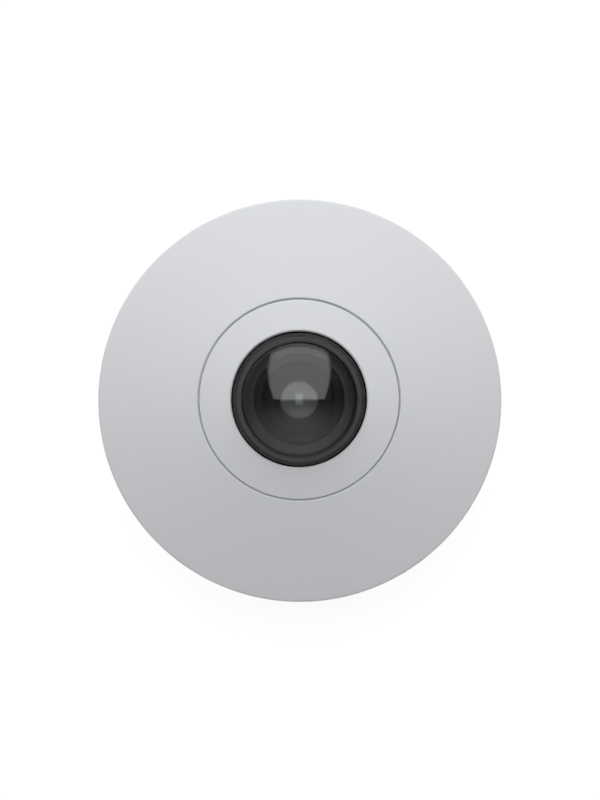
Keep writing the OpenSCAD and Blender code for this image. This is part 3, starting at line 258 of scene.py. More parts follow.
def mottle(tree, shader, place, light, dark, patch):
    """Lets the base colour wander between two near shades, over patches of a size in mm."""
    cloud = add(tree, "TexNoise", {"Vector": place, "Scale": 1 / (patch * MM), "Detail": 4.0})
    shade = add(tree, "Mix", {0: cloud.outputs["Fac"], 6: linear(light), 7: linear(dark)}, data_type="RGBA")
    tree.links.new(shade.outputs[2], shader.inputs["Base Color"])
    return shade.outputs[2]


def vary_gloss(tree, shader, place, low, high, patch):
    """Roughness that wanders between two values, as handling and uneven texture leave it."""
    cloud = add(tree, "TexNoise", {"Vector": place, "Scale": 1 / (patch * MM), "Detail": 3.0})
    value = add(tree, "MapRange", {"Value": cloud.outputs["Fac"], "From Min": NOISE_LOW,
                                   "From Max": NOISE_HIGH, "To Min": low, "To Max": high})
    tree.links.new(value.outputs["Result"], shader.inputs["Roughness"])


def relief(tree, shader, height, depth, strength):
    """Bump of a depth in mm from a height between 0 and 1."""
    bump = add(tree, "Bump", {"Height": height, "Distance": depth * MM, "Strength": strength})
    tree.links.new(bump.outputs["Normal"], shader.inputs["Normal"])


def grain(tree, place, size):
    """Height of a spark-eroded mould's fine grain, of a size in mm."""
    return add(tree, "TexNoise", {"Vector": place, "Scale": 1 / (size * MM), "Detail": 2.0,
                                  "Roughness": 0.6}).outputs["Fac"]


def wave_scale(pitch):
    """Scale of a wave texture that repeats at a pitch in mm. At scale 1 it repeats every WAVE_LENGTH."""
    return WAVE_LENGTH / (pitch * MM)


def turning_lines(tree, place, pitch):
    """Height of the fine rings that a lathe leaves round the optical axis, at a pitch in mm."""
    wave = add(tree, "TexWave", {"Vector": place, "Scale": wave_scale(pitch), "Distortion": 0.4},
               wave_type="RINGS", rings_direction="Z")
    return wave.outputs["Fac"]


# Finishes

def casing_plastic():
    """Moulded polycarbonate in cool white: an even satin skin, with a grain that only softens light."""
    material, tree, shader, place = start_material("casing_polycarbonate", "ECEEF1", Roughness=0.41, IOR=1.5)
    mottle(tree, shader, place, "ECEEF1", "EAECEF", patch=18)
    vary_gloss(tree, shader, place, low=0.38, high=0.44, patch=9)
    relief(tree, shader, grain(tree, place, size=0.5), depth=0.004, strength=0.5)
    return material


def housing_paint():
    """Pressure-cast aluminium under light grey paint: a faint orange peel over a soft sheen."""
    material, tree, shader, place = start_material("painted_cast_aluminium", "C9CCCE", Roughness=0.42,
                                                   IOR=1.5)
    mottle(tree, shader, place, "CBCED0", "C5C8CA", patch=12)
    vary_gloss(tree, shader, place, low=0.36, high=0.5, patch=5)
    relief(tree, shader, grain(tree, place, size=1.1), depth=0.02, strength=0.6)
    return material


def plate_plastic():
    """Glass-filled nylon, moulded: slightly streaky light grey with a dull skin."""
    material, tree, shader, place = start_material("moulded_nylon", "DADBDA", Roughness=0.55, IOR=1.53)
    stretched = add(tree, "Mapping", {"Vector": place, "Scale": (1.0, 6.0, 1.0)})
    mottle(tree, shader, stretched.outputs["Vector"], "DDDEDD", "D3D4D3", patch=20)
    vary_gloss(tree, shader, place, low=0.5, high=0.62, patch=7)
    relief(tree, shader, grain(tree, place, size=0.6), depth=0.01, strength=0.6)
    return material


def clear_dome():
    """Moulded clear polycarbonate: colourless, mirror smooth, and less bright for its silicone hard coat."""
    return start_material("clear_polycarbonate", "FFFFFF", Roughness=0.0, IOR=1.43,
                          Transmission_Weight=1.0)[0]


def lens_glass():
    """Ground optical glass, coated against reflections: all but a few percent of light goes through."""
    return start_material("coated_optical_glass", "0A0C0E", Roughness=0.0, IOR=1.52, Alpha=0.04)[0]


# Painted glint on the flint lens: its offset along Y, and its half sizes where it is full and where it has
# faded, in mm.
PAINTED_GLINT_Y = 0.2
PAINTED_GLINT_CORE_X = 0.8
PAINTED_GLINT_CORE_Y = 1.3
PAINTED_GLINT_END_X = 1.5
PAINTED_GLINT_END_Y = 2.3


def flint_glass():
    """Dense flint glass drawn opaque, in a painted grey for the light inside the tube behind it, with a
    painted glint for the sensor.
    """
    material, tree, shader, place = start_material("flint_glass_painted_light", "686A6C", Roughness=0.0, IOR=1.68)
    # Painted glint: a pale rectangle at the lens's centre, which fades out at its edges.
    across = add(tree, "SeparateXYZ", {0: place})
    side = add(tree, "Math", {0: across.outputs["X"]}, operation="ABSOLUTE")
    level = add(tree, "Math", {0: across.outputs["Y"], 1: PAINTED_GLINT_Y * MM}, operation="SUBTRACT")
    level = add(tree, "Math", {0: level.outputs[0]}, operation="ABSOLUTE")
    in_glint_x = add(tree, "MapRange", {"Value": side.outputs[0], "From Min": PAINTED_GLINT_END_X * MM,
                                      "From Max": PAINTED_GLINT_CORE_X * MM})
    in_glint_y = add(tree, "MapRange", {"Value": level.outputs[0], "From Min": PAINTED_GLINT_END_Y * MM,
                                      "From Max": PAINTED_GLINT_CORE_Y * MM})
    painted_glint = add(tree, "Math", {0: in_glint_x.outputs[0], 1: in_glint_y.outputs[0]}, operation="MULTIPLY")
    # Painted inner light: this grey and its mottle stand in for light seen inside the lens.
    painted_inner_light = mottle(tree, shader, place, "6B6D6F", "646668", patch=3)
    shade = add(tree, "Mix", {0: painted_glint.outputs[0], 6: painted_inner_light, 7: linear("9BA9AC")}, data_type="RGBA")
    tree.links.new(shade.outputs[2], shader.inputs["Base Color"])
    return material


def moulded_lens():
    """Moulded lens resin behind the stop: clear, with a faint blue coating."""
    return start_material("lens_resin", "E8F6FA", Roughness=0.0, IOR=1.53, Transmission_Weight=1.0,
                          Specular_Tint=linear("CFEAF2"))[0]


def mask_ink():
    """Black ink printed round the inside of the dome's foot, which hides the joint below it."""
    material, tree, shader, place = start_material("black_mask_ink", "1D1E20", Roughness=0.7, IOR=1.5,
                                                   Specular_IOR_Level=0.1)
    mottle(tree, shader, place, "1F2022", "1A1B1D", patch=3)
    return material


def shroud_plastic():
    """Black polycarbonate with a matt spark-eroded skin that keeps stray light out of the lens."""
    material, tree, shader, place = start_material("matt_black_polycarbonate", "545658", Roughness=0.6,
                                                   IOR=1.5, Specular_IOR_Level=0.2)
    mottle(tree, shader, place, "56585A", "505254", patch=6)
    relief(tree, shader, grain(tree, place, size=0.9), depth=0.012, strength=0.4)
    return material


def barrel_black():
    """Black anodised aluminium, turned: fine rings under a deep dull black."""
    material, tree, shader, place = start_material("black_anodised_aluminium", "202123", Roughness=0.5,
                                                   IOR=1.5, Specular_IOR_Level=0.15)
    mottle(tree, shader, place, "212224", "1D1E20", patch=3)
    relief(tree, shader, turning_lines(tree, place, pitch=0.8), depth=0.01, strength=0.4)
    return material


def seal_rubber():
    """Black silicone rubber: dull and slightly dusty."""
    material, tree, shader, place = start_material("silicone_rubber", "161718", Roughness=0.75, IOR=1.43,
                                                   Specular_IOR_Level=0.25)
    mottle(tree, shader, place, "181919", "121314", patch=2)
    relief(tree, shader, grain(tree, place, size=0.4), depth=0.01, strength=0.5)
    return material


def screw_steel():
    """Zinc-plated steel: bright grey metal with small scuffs from the driver."""
    material, tree, shader, place = start_material("zinc_plated_steel", "B9BCBE", Roughness=0.32,
                                                   Metallic=1.0)
    mottle(tree, shader, place, "BDC0C2", "A8ABAD", patch=1.5)
    vary_gloss(tree, shader, place, low=0.24, high=0.42, patch=0.8)
    relief(tree, shader, grain(tree, place, size=0.3), depth=0.006, strength=0.5)
    return material


VIA_PITCH = 4.5
VIA_SHARE = 0.11
# Radius of the painted shade, in black, on the board under the lens.
PAINTED_SHADE_R = 17.5


def board_green():
    """Glass-epoxy board under green mask, with painted shade in black near the lens: lighter lines of track,
    and tinned vias.
    """
    material, tree, shader, place = start_material("solder_mask", "0E4A2C", Roughness=0.3, IOR=1.55)
    tracks = add(tree, "TexBrick", {"Vector": place, "Scale": 1.0, "Color1": (0, 0, 0, 1),
                                    "Color2": (0, 0, 0, 1), "Mortar": (1, 1, 1, 1),
                                    "Mortar Size": 0.15 * MM, "Mortar Smooth": 0.2,
                                    "Brick Width": 7.5 * MM, "Row Height": 0.9 * MM})
    vias = add(tree, "TexVoronoi", {"Vector": place, "Scale": 1 / (VIA_PITCH * MM)}, voronoi_dimensions="2D")
    dot = add(tree, "Math", {0: vias.outputs["Distance"], 1: VIA_SHARE}, operation="LESS_THAN")
    base = add(tree, "Mix", {0: tracks.outputs["Color"], 6: linear("0D4529"), 7: linear("1B6B41")},
               data_type="RGBA")
    flat = add(tree, "VectorMath", {0: place, 1: (1, 1, 0)}, operation="MULTIPLY")
    from_axis = add(tree, "VectorMath", {0: flat.outputs["Vector"]}, operation="LENGTH")
    # Painted shade: within this radius of the axis the board is drawn black, with no vias, for the shade
    # under the lens.
    away = add(tree, "Math", {0: from_axis.outputs["Value"], 1: PAINTED_SHADE_R * MM},
               operation="GREATER_THAN")
    dot = add(tree, "Math", {0: dot.outputs[0], 1: away.outputs[0]}, operation="MULTIPLY")
    base = add(tree, "Mix", {0: away.outputs[0], 6: linear("141516"), 7: base.outputs[2]}, data_type="RGBA")
    tinned = add(tree, "Mix", {0: dot.outputs[0], 6: base.outputs[2], 7: linear("B7B9AE")}, data_type="RGBA")
    tree.links.new(tinned.outputs[2], shader.inputs["Base Color"])
    tree.links.new(dot.outputs[0], shader.inputs["Metallic"])
    relief(tree, shader, tracks.outputs["Color"], depth=0.03, strength=0.6)
    return material


def chip_black():
    """Epoxy moulding compound: charcoal with a fine sandy skin."""
    material, tree, shader, place = start_material("epoxy_moulding", "222425", Roughness=0.5, IOR=1.55)
    mottle(tree, shader, place, "252728", "1D1F20", patch=1.2)
    relief(tree, shader, grain(tree, place, size=0.12), depth=0.006, strength=0.6)
    return material


def sensor_dark():
    """Ceramic sensor package: dark grey-violet, satin."""
    material, tree, shader, place = start_material("sensor_ceramic", "2B2A33", Roughness=0.35, IOR=1.6)
    mottle(tree, shader, place, "2F2E38", "25242C", patch=1.0)
    vary_gloss(tree, shader, place, low=0.3, high=0.42, patch=0.6)
    return material


def contact_gold():
    """Gold-plated spring wire: warm polished metal."""
    material, tree, shader, place = start_material("gold_plating", "E3B85A", Roughness=0.2, Metallic=1.0)
    mottle(tree, shader, place, "E6BC60", "D4A748", patch=0.8)
    vary_gloss(tree, shader, place, low=0.16, high=0.28, patch=0.5)
    return material


def slot_steel():
    """Thin stamped stainless steel: rolled lines along the sheet."""
    material, tree, shader, place = start_material("stamped_stainless_steel", "C3C5C6", Roughness=0.28,
                                                   Metallic=1.0)
    rolled = add(tree, "Mapping", {"Vector": place, "Scale": (0.06, 1.0, 1.0)})
    lines = grain(tree, rolled.outputs["Vector"], size=0.2)
    mottle(tree, shader, rolled.outputs["Vector"], "C8CACB", "B8BABB", patch=0.5)
    relief(tree, shader, lines, depth=0.004, strength=0.5)
    return material


def thermal_gel():
    """Filled silicone gap pad: chalky grey-blue and soft."""
    material, tree, shader, place = start_material("silicone_gap_pad", "9AA4B2", Roughness=0.8, IOR=1.41)
    mottle(tree, shader, place, "A0AAB8", "8E98A6", patch=0.8)
    relief(tree, shader, grain(tree, place, size=0.3), depth=0.03, strength=0.6)
    return material


def ferrite():
    """Sintered ferrite: near-black ceramic, slightly sparkling."""
    material, tree, shader, place = start_material("sintered_ferrite", "303134", Roughness=0.5, IOR=1.8)
    mottle(tree, shader, place, "37383B", "28292B", patch=0.4)
    vary_gloss(tree, shader, place, low=0.4, high=0.6, patch=0.3)
    relief(tree, shader, grain(tree, place, size=0.15), depth=0.01, strength=0.6)
    return material


def winding_tape():
    """Yellow polyester tape over the transformer's winding: glossy, with the turns' edges showing."""
    material, tree, shader, place = start_material("polyester_tape", "D9A521", Roughness=0.3, IOR=1.57)
    mottle(tree, shader, place, "DCA925", "CE981A", patch=2)
    turns = add(tree, "TexWave", {"Vector": place, "Scale": wave_scale(pitch=1.6), "Distortion": 0.5},
                wave_type="BANDS", bands_direction="Z")
    relief(tree, shader, turns.outputs["Fac"], depth=0.05, strength=0.6)
    return material


def copper_wire():
    """Enamelled copper wire, wound turn by turn: warm metal with a ridge for each turn, with painted shade
    in the hollows and painted light on the crests.
    """
    material, tree, shader, place = start_material("enamelled_copper", "B4622F", Roughness=0.3, Metallic=1.0)
    turns = add(tree, "TexWave", {"Vector": place, "Scale": wave_scale(pitch=0.25)}, wave_type="BANDS",
                bands_direction="X")
    # Painted light and shade: the colour follows the ridges' height, dark in the hollows and light on the
    # crests.
    shade = add(tree, "Mix", {0: turns.outputs["Fac"], 6: linear("8C4520"), 7: linear("C97A42")},
                data_type="RGBA")
    tree.links.new(shade.outputs[2], shader.inputs["Base Color"])
    relief(tree, shader, turns.outputs["Fac"], depth=0.08, strength=0.8)
    return material


def can_aluminium():
    """Capacitor can in a blue-black polymer sleeve: smooth, slightly wavy from shrinking."""
    material, tree, shader, place = start_material("shrunk_sleeve", "232B45", Roughness=0.3, IOR=1.54)
    mottle(tree, shader, place, "27304C", "1E253C", patch=3)
    relief(tree, shader, grain(tree, place, size=2.5), depth=0.04, strength=0.5)
    return material


def flex_film():
    """Polyimide film with copper tracks along it: clear amber over fine lines."""
    material, tree, shader, place = start_material("polyimide_film", "C9741C", Roughness=0.25, IOR=1.7)
    tracks = add(tree, "TexWave", {"Vector": place, "Scale": wave_scale(pitch=0.5)}, wave_type="BANDS",
                 bands_direction="X")
    shade = add(tree, "Mix", {0: tracks.outputs["Fac"], 6: linear("B5641A"), 7: linear("D98A2F")},
                data_type="RGBA")
    tree.links.new(shade.outputs[2], shader.inputs["Base Color"])
    relief(tree, shader, tracks.outputs["Fac"], depth=0.02, strength=0.6)
    return material


def connector_ivory():
    """Heat-proof nylon, moulded natural: ivory with a dull skin."""
    material, tree, shader, place = start_material("natural_nylon", "E6DFC9", Roughness=0.5, IOR=1.53)
    mottle(tree, shader, place, "E9E2CD", "DDD5BC", patch=1.5)
    relief(tree, shader, grain(tree, place, size=0.2), depth=0.008, strength=0.6)
    return material


def filter_glass():
    """Infrared-cut glass: pale cyan, coated so that little light comes back from it."""
    return start_material("infrared_cut_glass", "6FB4BC", Roughness=0.0, IOR=1.52, Alpha=0.25)[0]


def light_diffuser():
    """Milky epoxy lens of the status light."""
    material, tree, shader, place = start_material("milky_epoxy", "DCEBD8", Roughness=0.35, IOR=1.5)
    mottle(tree, shader, place, "E0EEDC", "D3E4CE", patch=0.5)
    return material


FINISHES = {make.__name__: make() for make in (
    casing_plastic, housing_paint, plate_plastic, clear_dome, lens_glass, shroud_plastic, barrel_black,
    seal_rubber, screw_steel, board_green, chip_black, sensor_dark, contact_gold, slot_steel, thermal_gel,
    ferrite, winding_tape, copper_wire, can_aluminium, flex_film, connector_ivory, filter_glass,
    light_diffuser)}

for row in frame["record"]["subparts"]:
    data = frame["nodes"][row["node"]].data
    data.materials.clear()
    data.materials.append(FINISHES[row["material_slot"]])


# Front cover: crown, rim and side wall with the ledge under the lens ring, gussets and screw bosses

COVER_SCREW_R = 57.3
COVER_SCREW_ANGLES = [30, 150, 240, 315]
COVER_BOSS_R = 3.15
COVER_BOSS_FOOT = 13.0
COVER_HOLE_R = 1.3
COVER_HOLE_TOP = 21.0
GUSSETS = 12
GUSSET_T = 1.4
GUSSET_REACH = 7.6
SINK = 0.4


def screw_boss(place_r, angle, radius, top, foot, hole_r, hole_top, edge, steps):
    """A round boss with a blind hole from below. It stands at a distance and an angle from the axis."""
    a = math.radians(angle)
    outline = [(0, hole_top), (0, top), (radius, top), (radius, foot, edge), (hole_r, foot, FINE_EDGE),
               (hole_r, hole_top)]
    return turned(outline, (place_r * math.cos(a), place_r * math.sin(a)), steps)


def front_cover():
    """The cover's shell. Its bosses and gussets reach into it."""
    groove_r = RING_R + GROOVE_W
    neck_r = groove_r + COVER_WALL
    foot_r = side_r(COVER_FOOT)
    inner_r = foot_r - COVER_WALL
    rib_z = LAND_Z + GROOVE_RIB
    shell = turned(
        [(LEDGE_R, LEDGE_Z, EDGE), (LEDGE_R, LAND_Z, EDGE), (RING_R + RING_AIR, LAND_Z),
         (RING_R + RING_AIR, rib_z), (groove_r, rib_z), (groove_r, crown_z(groove_r), GROOVE_EDGE)]
        + crown_points(groove_r + EDGE_ROOM, CASE_R - RIM_ROOM, steps=24)
        + [(CASE_R, RIM_Z, RIM_EDGE), (foot_r, COVER_FOOT, SOFT_EDGE), (inner_r, COVER_FOOT, EDGE)]
        + crown_points(inner_r, neck_r, steps=16, drop=COVER_WALL)
        + [(neck_r, LEDGE_Z)])
    boss_top = crown_z(COVER_SCREW_R + COVER_BOSS_R) - COVER_WALL / 2
    bosses = [screw_boss(COVER_SCREW_R, angle, COVER_BOSS_R, boss_top, COVER_BOSS_FOOT, COVER_HOLE_R,
                         COVER_HOLE_TOP, EDGE, steps=48)
              for angle in COVER_SCREW_ANGLES]
    start = neck_r - SINK
    end = neck_r + GUSSET_REACH
    gusset = [(start, LEDGE_Z), (start, crown_z(start) - COVER_WALL / 2),
              (end, crown_z(end) - COVER_WALL / 2), (end, crown_z(end) - COVER_WALL)]
    gussets = [slab(gusset, GUSSET_T, (i + 0.5) * 360 / GUSSETS) for i in range(GUSSETS)]
    piece("front_cover_shell", "casing_plastic", [shell] + bosses + gussets, ["front_cover"])


# Lens ring: snaps into the cover's ledge and carries the shroud's screws

RING_HOOKS = 6
RING_HOOK_W = 5.0
RING_HOOK_T = 0.9
HOOK_AIR = 0.3
HOOK_PLAY = 0.15
RING_BARB = 0.8
BARB_TIP_SHARE = 0.3
BARB_RAMP_SHARE = 0.4
SHROUD_SCREW_R = 27.65
SHROUD_SCREW_ANGLES = [45, 135, 225, 315]
RING_BOSS_R = 1.6
RING_HOLE_R = 0.85
RING_HOLE_DEPTH = 1.9
FLANGE_BOTTOM = node_box("dome_window")[0].z
OPENING_DEPTH = 2.4
RING_LIP_Z = OPENING_Z - OPENING_DEPTH
RING_INNER_LAND_R = 26.05
OPENING_WALL_R = 22.1
OPENING_BEVEL = 0.5


def lens_ring():
    """The ring's turned body. Its snap hooks and the bosses for the shroud's screws reach into it."""
    hook_r = LEDGE_R - HOOK_AIR
    hook_inner_r = hook_r - RING_HOOK_T
    bevel_r = OPENING_WALL_R + OPENING_BEVEL
    body = turned(
        [(OPENING_WALL_R, RING_LIP_Z), (OPENING_WALL_R, OPENING_Z - OPENING_BEVEL, EDGE),
         (bevel_r, crown_z(bevel_r), EDGE)]
        + crown_points(OPENING_R + EDGE_ROOM, RING_R - EDGE_ROOM, steps=12)
        + [(RING_R, crown_z(RING_R), GROOVE_EDGE), (RING_R, LAND_Z), (hook_r, LAND_Z)]
        + crown_points(hook_inner_r - HOOK_PLAY, RING_INNER_LAND_R, steps=4, drop=RING_T)
        + [(RING_INNER_LAND_R, RING_LIP_Z)])
    barb_top = LEDGE_Z - HOOK_PLAY
    barb_low = barb_top - RING_BARB
    barb_r = hook_r + RING_BARB + HOOK_AIR
    root_z = crown_z(hook_r) - RING_T + SINK
    hook = [(hook_inner_r, barb_low, FINE_EDGE), (hook_r + RING_BARB * BARB_TIP_SHARE, barb_low, FINE_EDGE),
            (barb_r, barb_top - RING_BARB * BARB_RAMP_SHARE), (barb_r, barb_top), (hook_r, barb_top),
            (hook_r, root_z), (hook_inner_r, root_z)]
    hooks = [slab(hook, RING_HOOK_W, (i + 0.5) * 360 / RING_HOOKS) for i in range(RING_HOOKS)]
    boss_top = crown_z(SHROUD_SCREW_R + RING_BOSS_R) - RING_T / 2
    bosses = [screw_boss(SHROUD_SCREW_R, angle, RING_BOSS_R, boss_top, FLANGE_BOTTOM, RING_HOLE_R,
                         FLANGE_BOTTOM + RING_HOLE_DEPTH, FINE_EDGE, steps=32)
              for angle in SHROUD_SCREW_ANGLES]
    piece("lens_ring_turned", "casing_plastic", [body] + hooks + bosses, ["lens_ring"])


# Dome: one clear moulding, a sphere's cap on a short upright wall with a flange under the seal

DOME_R = 21.6
DOME_WALL = 2.0
DOME_SPHERE_R = 26.0
DOME_RISE = 0.2
DOME_EDGE_Z = OPENING_Z + DOME_RISE
DOME_CENTRE_Z = DOME_EDGE_Z - math.sqrt(DOME_SPHERE_R ** 2 - DOME_R ** 2)
DOME_FLANGE_R = 25.9
DOME_FLANGE_T = 1.6
GLASS_AIR = 0.02
MASK_R = 17.4
MASK_TURN = 0.1


def in_mask(at, normal):
    """Whether a face lies on the inside of the dome's foot."""
    r = math.hypot(at.x, at.y)
    outward = (normal.x * at.x + normal.y * at.y) / r if r > 0 else 0
    return r > MASK_R and outward < MASK_TURN and normal.z < MASK_TURN


def dome_window():
    """The clear moulding, with black ink on the inside of its foot."""
    inner_r = DOME_R - DOME_WALL
    flange_top = FLANGE_BOTTOM + DOME_FLANGE_T - GLASS_AIR
    flange_foot = FLANGE_BOTTOM + GLASS_AIR
    outline = (
        sphere_points(DOME_CENTRE_Z, DOME_SPHERE_R, 0, DOME_R, steps=60)
        + [(DOME_R, flange_top), (DOME_FLANGE_R, flange_top, TURNED_EDGE),
           (DOME_FLANGE_R, flange_foot, TURNED_EDGE), (inner_r, flange_foot, FINE_EDGE)]
        + sphere_points(DOME_CENTRE_Z, DOME_SPHERE_R - DOME_WALL, inner_r, 0, steps=60))
    piece("dome_clear", "clear_dome", [turned(outline)], ["dome_window"], edge_finish=mask_ink(),
          edge_test=in_mask)


# Lens shroud: black collar and shallow cone inside the dome

SHROUD_LOW, SHROUD_HIGH = node_box("lens_shroud")
COLLAR_R = 19.3
COLLAR_IN_R = 18.3
COLLAR_TOP = SHROUD_HIGH.z
CONE_DEPTH = 1.1
CONE_Z = COLLAR_TOP - CONE_DEPTH
CONE_RISE = 1.0
CONE_T = 1.2
SHROUD_HOLE_R = 14.4
SHROUD_FLANGE_R = SHROUD_HIGH.x
SHROUD_FLANGE_Z = SHROUD_LOW.z


def lens_shroud():
    """The collar with its flange, and the cone that rises towards the lens."""
    lip_z = CONE_Z + CONE_RISE
    outline = [
        (SHROUD_HOLE_R, lip_z, SOFT_EDGE), (COLLAR_IN_R, CONE_Z, EDGE), (COLLAR_IN_R, COLLAR_TOP, SOFT_EDGE),
        (COLLAR_R, COLLAR_TOP, EDGE), (COLLAR_R, FLANGE_BOTTOM), (SHROUD_FLANGE_R, FLANGE_BOTTOM, EDGE),
        (SHROUD_FLANGE_R, SHROUD_FLANGE_Z, EDGE), (COLLAR_IN_R, SHROUD_FLANGE_Z, EDGE),
        (COLLAR_IN_R, CONE_Z - CONE_T), (SHROUD_HOLE_R, lip_z - CONE_T, EDGE)]
    piece("lens_shroud_cone", "shroud_plastic", [turned(outline)], ["lens_shroud"])


# Lens: front element, its retainer and the inner elements

FRONT_SPHERE_R = 17.0
FRONT_R = 11.9
FRONT_T = 1.8
FRONT_LOW, FRONT_HIGH = node_box("front_element")
FRONT_APEX = FRONT_HIGH.z
FRONT_SEAT = FRONT_LOW.z
HOLLOW_R = 9.6
HOLLOW_CENTRE_Z = FRONT_APEX - FRONT_T - HOLLOW_R
FRONT_INK_REACH = 1.2
INK_TURN = 0.3
RETAINER_R = 14.1
RETAINER_LIP_R = 11.5
RETAINER_WALL = 0.65
RETAINER_HEAD = 0.9
RETAINER_AIR = 0.1
LIP_AIR = 0.05
RETAINER_FOOT = node_box("lens_retainer")[0].z


def sag(sphere_r, r):
    """How far a sphere falls away from its top at a distance from the axis."""
    return sphere_r - math.sqrt(sphere_r ** 2 - r ** 2)


def blackened(from_r):
    """A test for the faces that a lens maker blackens: the edge, and what faces down beyond a radius."""
    return lambda at, normal: at.xy.length > from_r and normal.z < INK_TURN


def front_element():
    """The wide front lens, hollow below, with a blackened edge."""
    seat = FRONT_SEAT + GLASS_AIR
    hollow_edge = math.sqrt(HOLLOW_R ** 2 - (seat - HOLLOW_CENTRE_Z) ** 2)
    outline = (sphere_points(FRONT_APEX - FRONT_SPHERE_R, FRONT_SPHERE_R, 0, FRONT_R, steps=48)
               + [(FRONT_R, seat, FINE_EDGE)]
               + sphere_points(HOLLOW_CENTRE_Z, HOLLOW_R, hollow_edge, 0, steps=40))
    piece("front_element_ground", "lens_glass", [turned(outline)], ["front_element"],
          edge_finish=FINISHES["barrel_black"], edge_test=blackened(HOLLOW_R - FRONT_INK_REACH))


def lens_retainer():
    """The turned ring whose lip holds the front lens down."""
    lip_z = FRONT_APEX - sag(FRONT_SPHERE_R, RETAINER_LIP_R) + LIP_AIR
    seat_z = FRONT_APEX - sag(FRONT_SPHERE_R, FRONT_R) + RETAINER_AIR
    bore_r = FRONT_R + RETAINER_AIR
    head_r = RETAINER_R - RETAINER_WALL
    head_top = FRONT_SEAT + RETAINER_HEAD
    outline = [
        (head_r, RETAINER_FOOT, FINE_EDGE), (RETAINER_R, RETAINER_FOOT, TURNED_EDGE),
        (RETAINER_R, lip_z - RETAINER_WALL, SHOULDER_EDGE),
        (RETAINER_LIP_R + RETAINER_WALL / 2, lip_z + RETAINER_WALL, EDGE),
        (RETAINER_LIP_R, lip_z + RETAINER_WALL / 2, FINE_EDGE), (RETAINER_LIP_R, lip_z),
        (bore_r, seat_z), (bore_r, head_top), (head_r, head_top)]
    piece("lens_retainer_turned", "barrel_black", [turned(outline)], ["lens_retainer"])


# Inner lens: the seats are those of the barrel, and the glass stands a hair clear of them

SECOND_LOW, SECOND_HIGH = node_box("second_element")
SECOND_R = 9.5
SECOND_SPHERE_R = 18.62
SECOND_HOLLOW_R = 8.55
SECOND_HOLLOW_SHARE = 0.65
SECOND_INK_REACH = 1.0
THIRD_LOW, THIRD_HIGH = node_box("third_element")
THIRD_R = 6.5
THIRD_SPHERE_R = 30.0
REAR_LOW, REAR_HIGH = node_box("rear_elements")
REAR_R = 4.5
REAR_T = 2.2
REAR_CURVED_R = 2.7
REAR_STEEP_R = 3.3
REAR_FLAT_R = 8.3


def second_element():
    """A smaller lens of the front one's kind."""
    seat = SECOND_LOW.z + GLASS_AIR
    edge = SECOND_R - GLASS_AIR
    hollow_top = SECOND_LOW.z + sag(SECOND_HOLLOW_R, SECOND_R * SECOND_HOLLOW_SHARE)
    hollow_edge = math.sqrt(SECOND_HOLLOW_R ** 2 - (seat - hollow_top + SECOND_HOLLOW_R) ** 2)
    outline = (sphere_points(SECOND_HIGH.z - SECOND_SPHERE_R, SECOND_SPHERE_R, 0, edge, steps=36)
               + [(edge, seat, FINE_EDGE)]
               + sphere_points(hollow_top - SECOND_HOLLOW_R, SECOND_HOLLOW_R, hollow_edge, 0, steps=30))
    piece("second_element_ground", "lens_glass", [turned(outline, steps=128)], ["second_element"],
          edge_finish=FINISHES["barrel_black"], edge_test=blackened(SECOND_HOLLOW_R - SECOND_INK_REACH))


def third_element():
    """A lens with a flat foot, ground from flint glass."""
    edge = THIRD_R - GLASS_AIR
    seat = THIRD_LOW.z + GLASS_AIR
    outline = (sphere_points(THIRD_HIGH.z - THIRD_SPHERE_R, THIRD_SPHERE_R, 0, edge, steps=30)
               + [(edge, seat, FINE_EDGE), (0, seat)])
    made = piece("third_element_ground", "lens_glass", [turned(outline, steps=128)], ["third_element"])
    # This finish paints a grey for the light inside the lens, and a glint at its centre.
    made.data.materials[0] = flint_glass()


def rear_elements():
    """A moulded lens with steep faces and a flange, over a ground element that fills the thread."""
    edge = REAR_R - GLASS_AIR
    top = REAR_HIGH.z
    foot = top - REAR_T + GLASS_AIR
    flange_top = top - sag(REAR_STEEP_R, REAR_CURVED_R)
    flange_under = foot + sag(REAR_FLAT_R, REAR_CURVED_R)
    underside = [(r, 2 * foot + REAR_FLAT_R - z)
                 for r, z in sphere_points(foot, REAR_FLAT_R, REAR_CURVED_R, 0, steps=24)]
    moulded = (sphere_points(top - REAR_STEEP_R, REAR_STEEP_R, 0, REAR_CURVED_R, steps=24)
               + [(edge, flange_top, FINE_EDGE), (edge, flange_under, FINE_EDGE)]
               + underside)
    made = piece("rear_elements_moulded", "lens_glass", [turned(moulded, steps=96)], ["rear_elements"])
    made.data.materials[0] = moulded_lens()
    ground_foot = REAR_LOW.z + GLASS_AIR
    ground_top = REAR_LOW.z + REAR_T
    ground = [(edge, ground_foot, FINE_EDGE), (edge, ground_top, FINE_EDGE), (0, ground_top),
              (0, ground_foot)]
    piece("rear_element_ground", "lens_glass", [turned(ground, steps=96)], ["rear_elements"])


front_cover()
lens_ring()
dome_window()
lens_shroud()
front_element()
lens_retainer()
second_element()
third_element()
rear_elements()


# Studio: a large softbox on the +Y side, a dim fill from the -Y side, and a white floor

def aim(thing, place, target):
    """Stands a lamp or camera at a place, looking at a target with +Y upwards in its picture."""
    back = (place - target).normalized()
    across = Vector((0, 1, 0)).cross(back).normalized()
    axes = Matrix((across, back.cross(across), back)).transposed().to_4x4()
    thing.matrix_world = Matrix.Translation(place) @ axes


SOFTBOX_WIDTH = 1.5
SOFTBOX_NEAR = Vector((0, 0.0, 1.0))
SOFTBOX_FAR = Vector((0, 1.3, 0.078))
SOFTBOX_POWER = 11.15


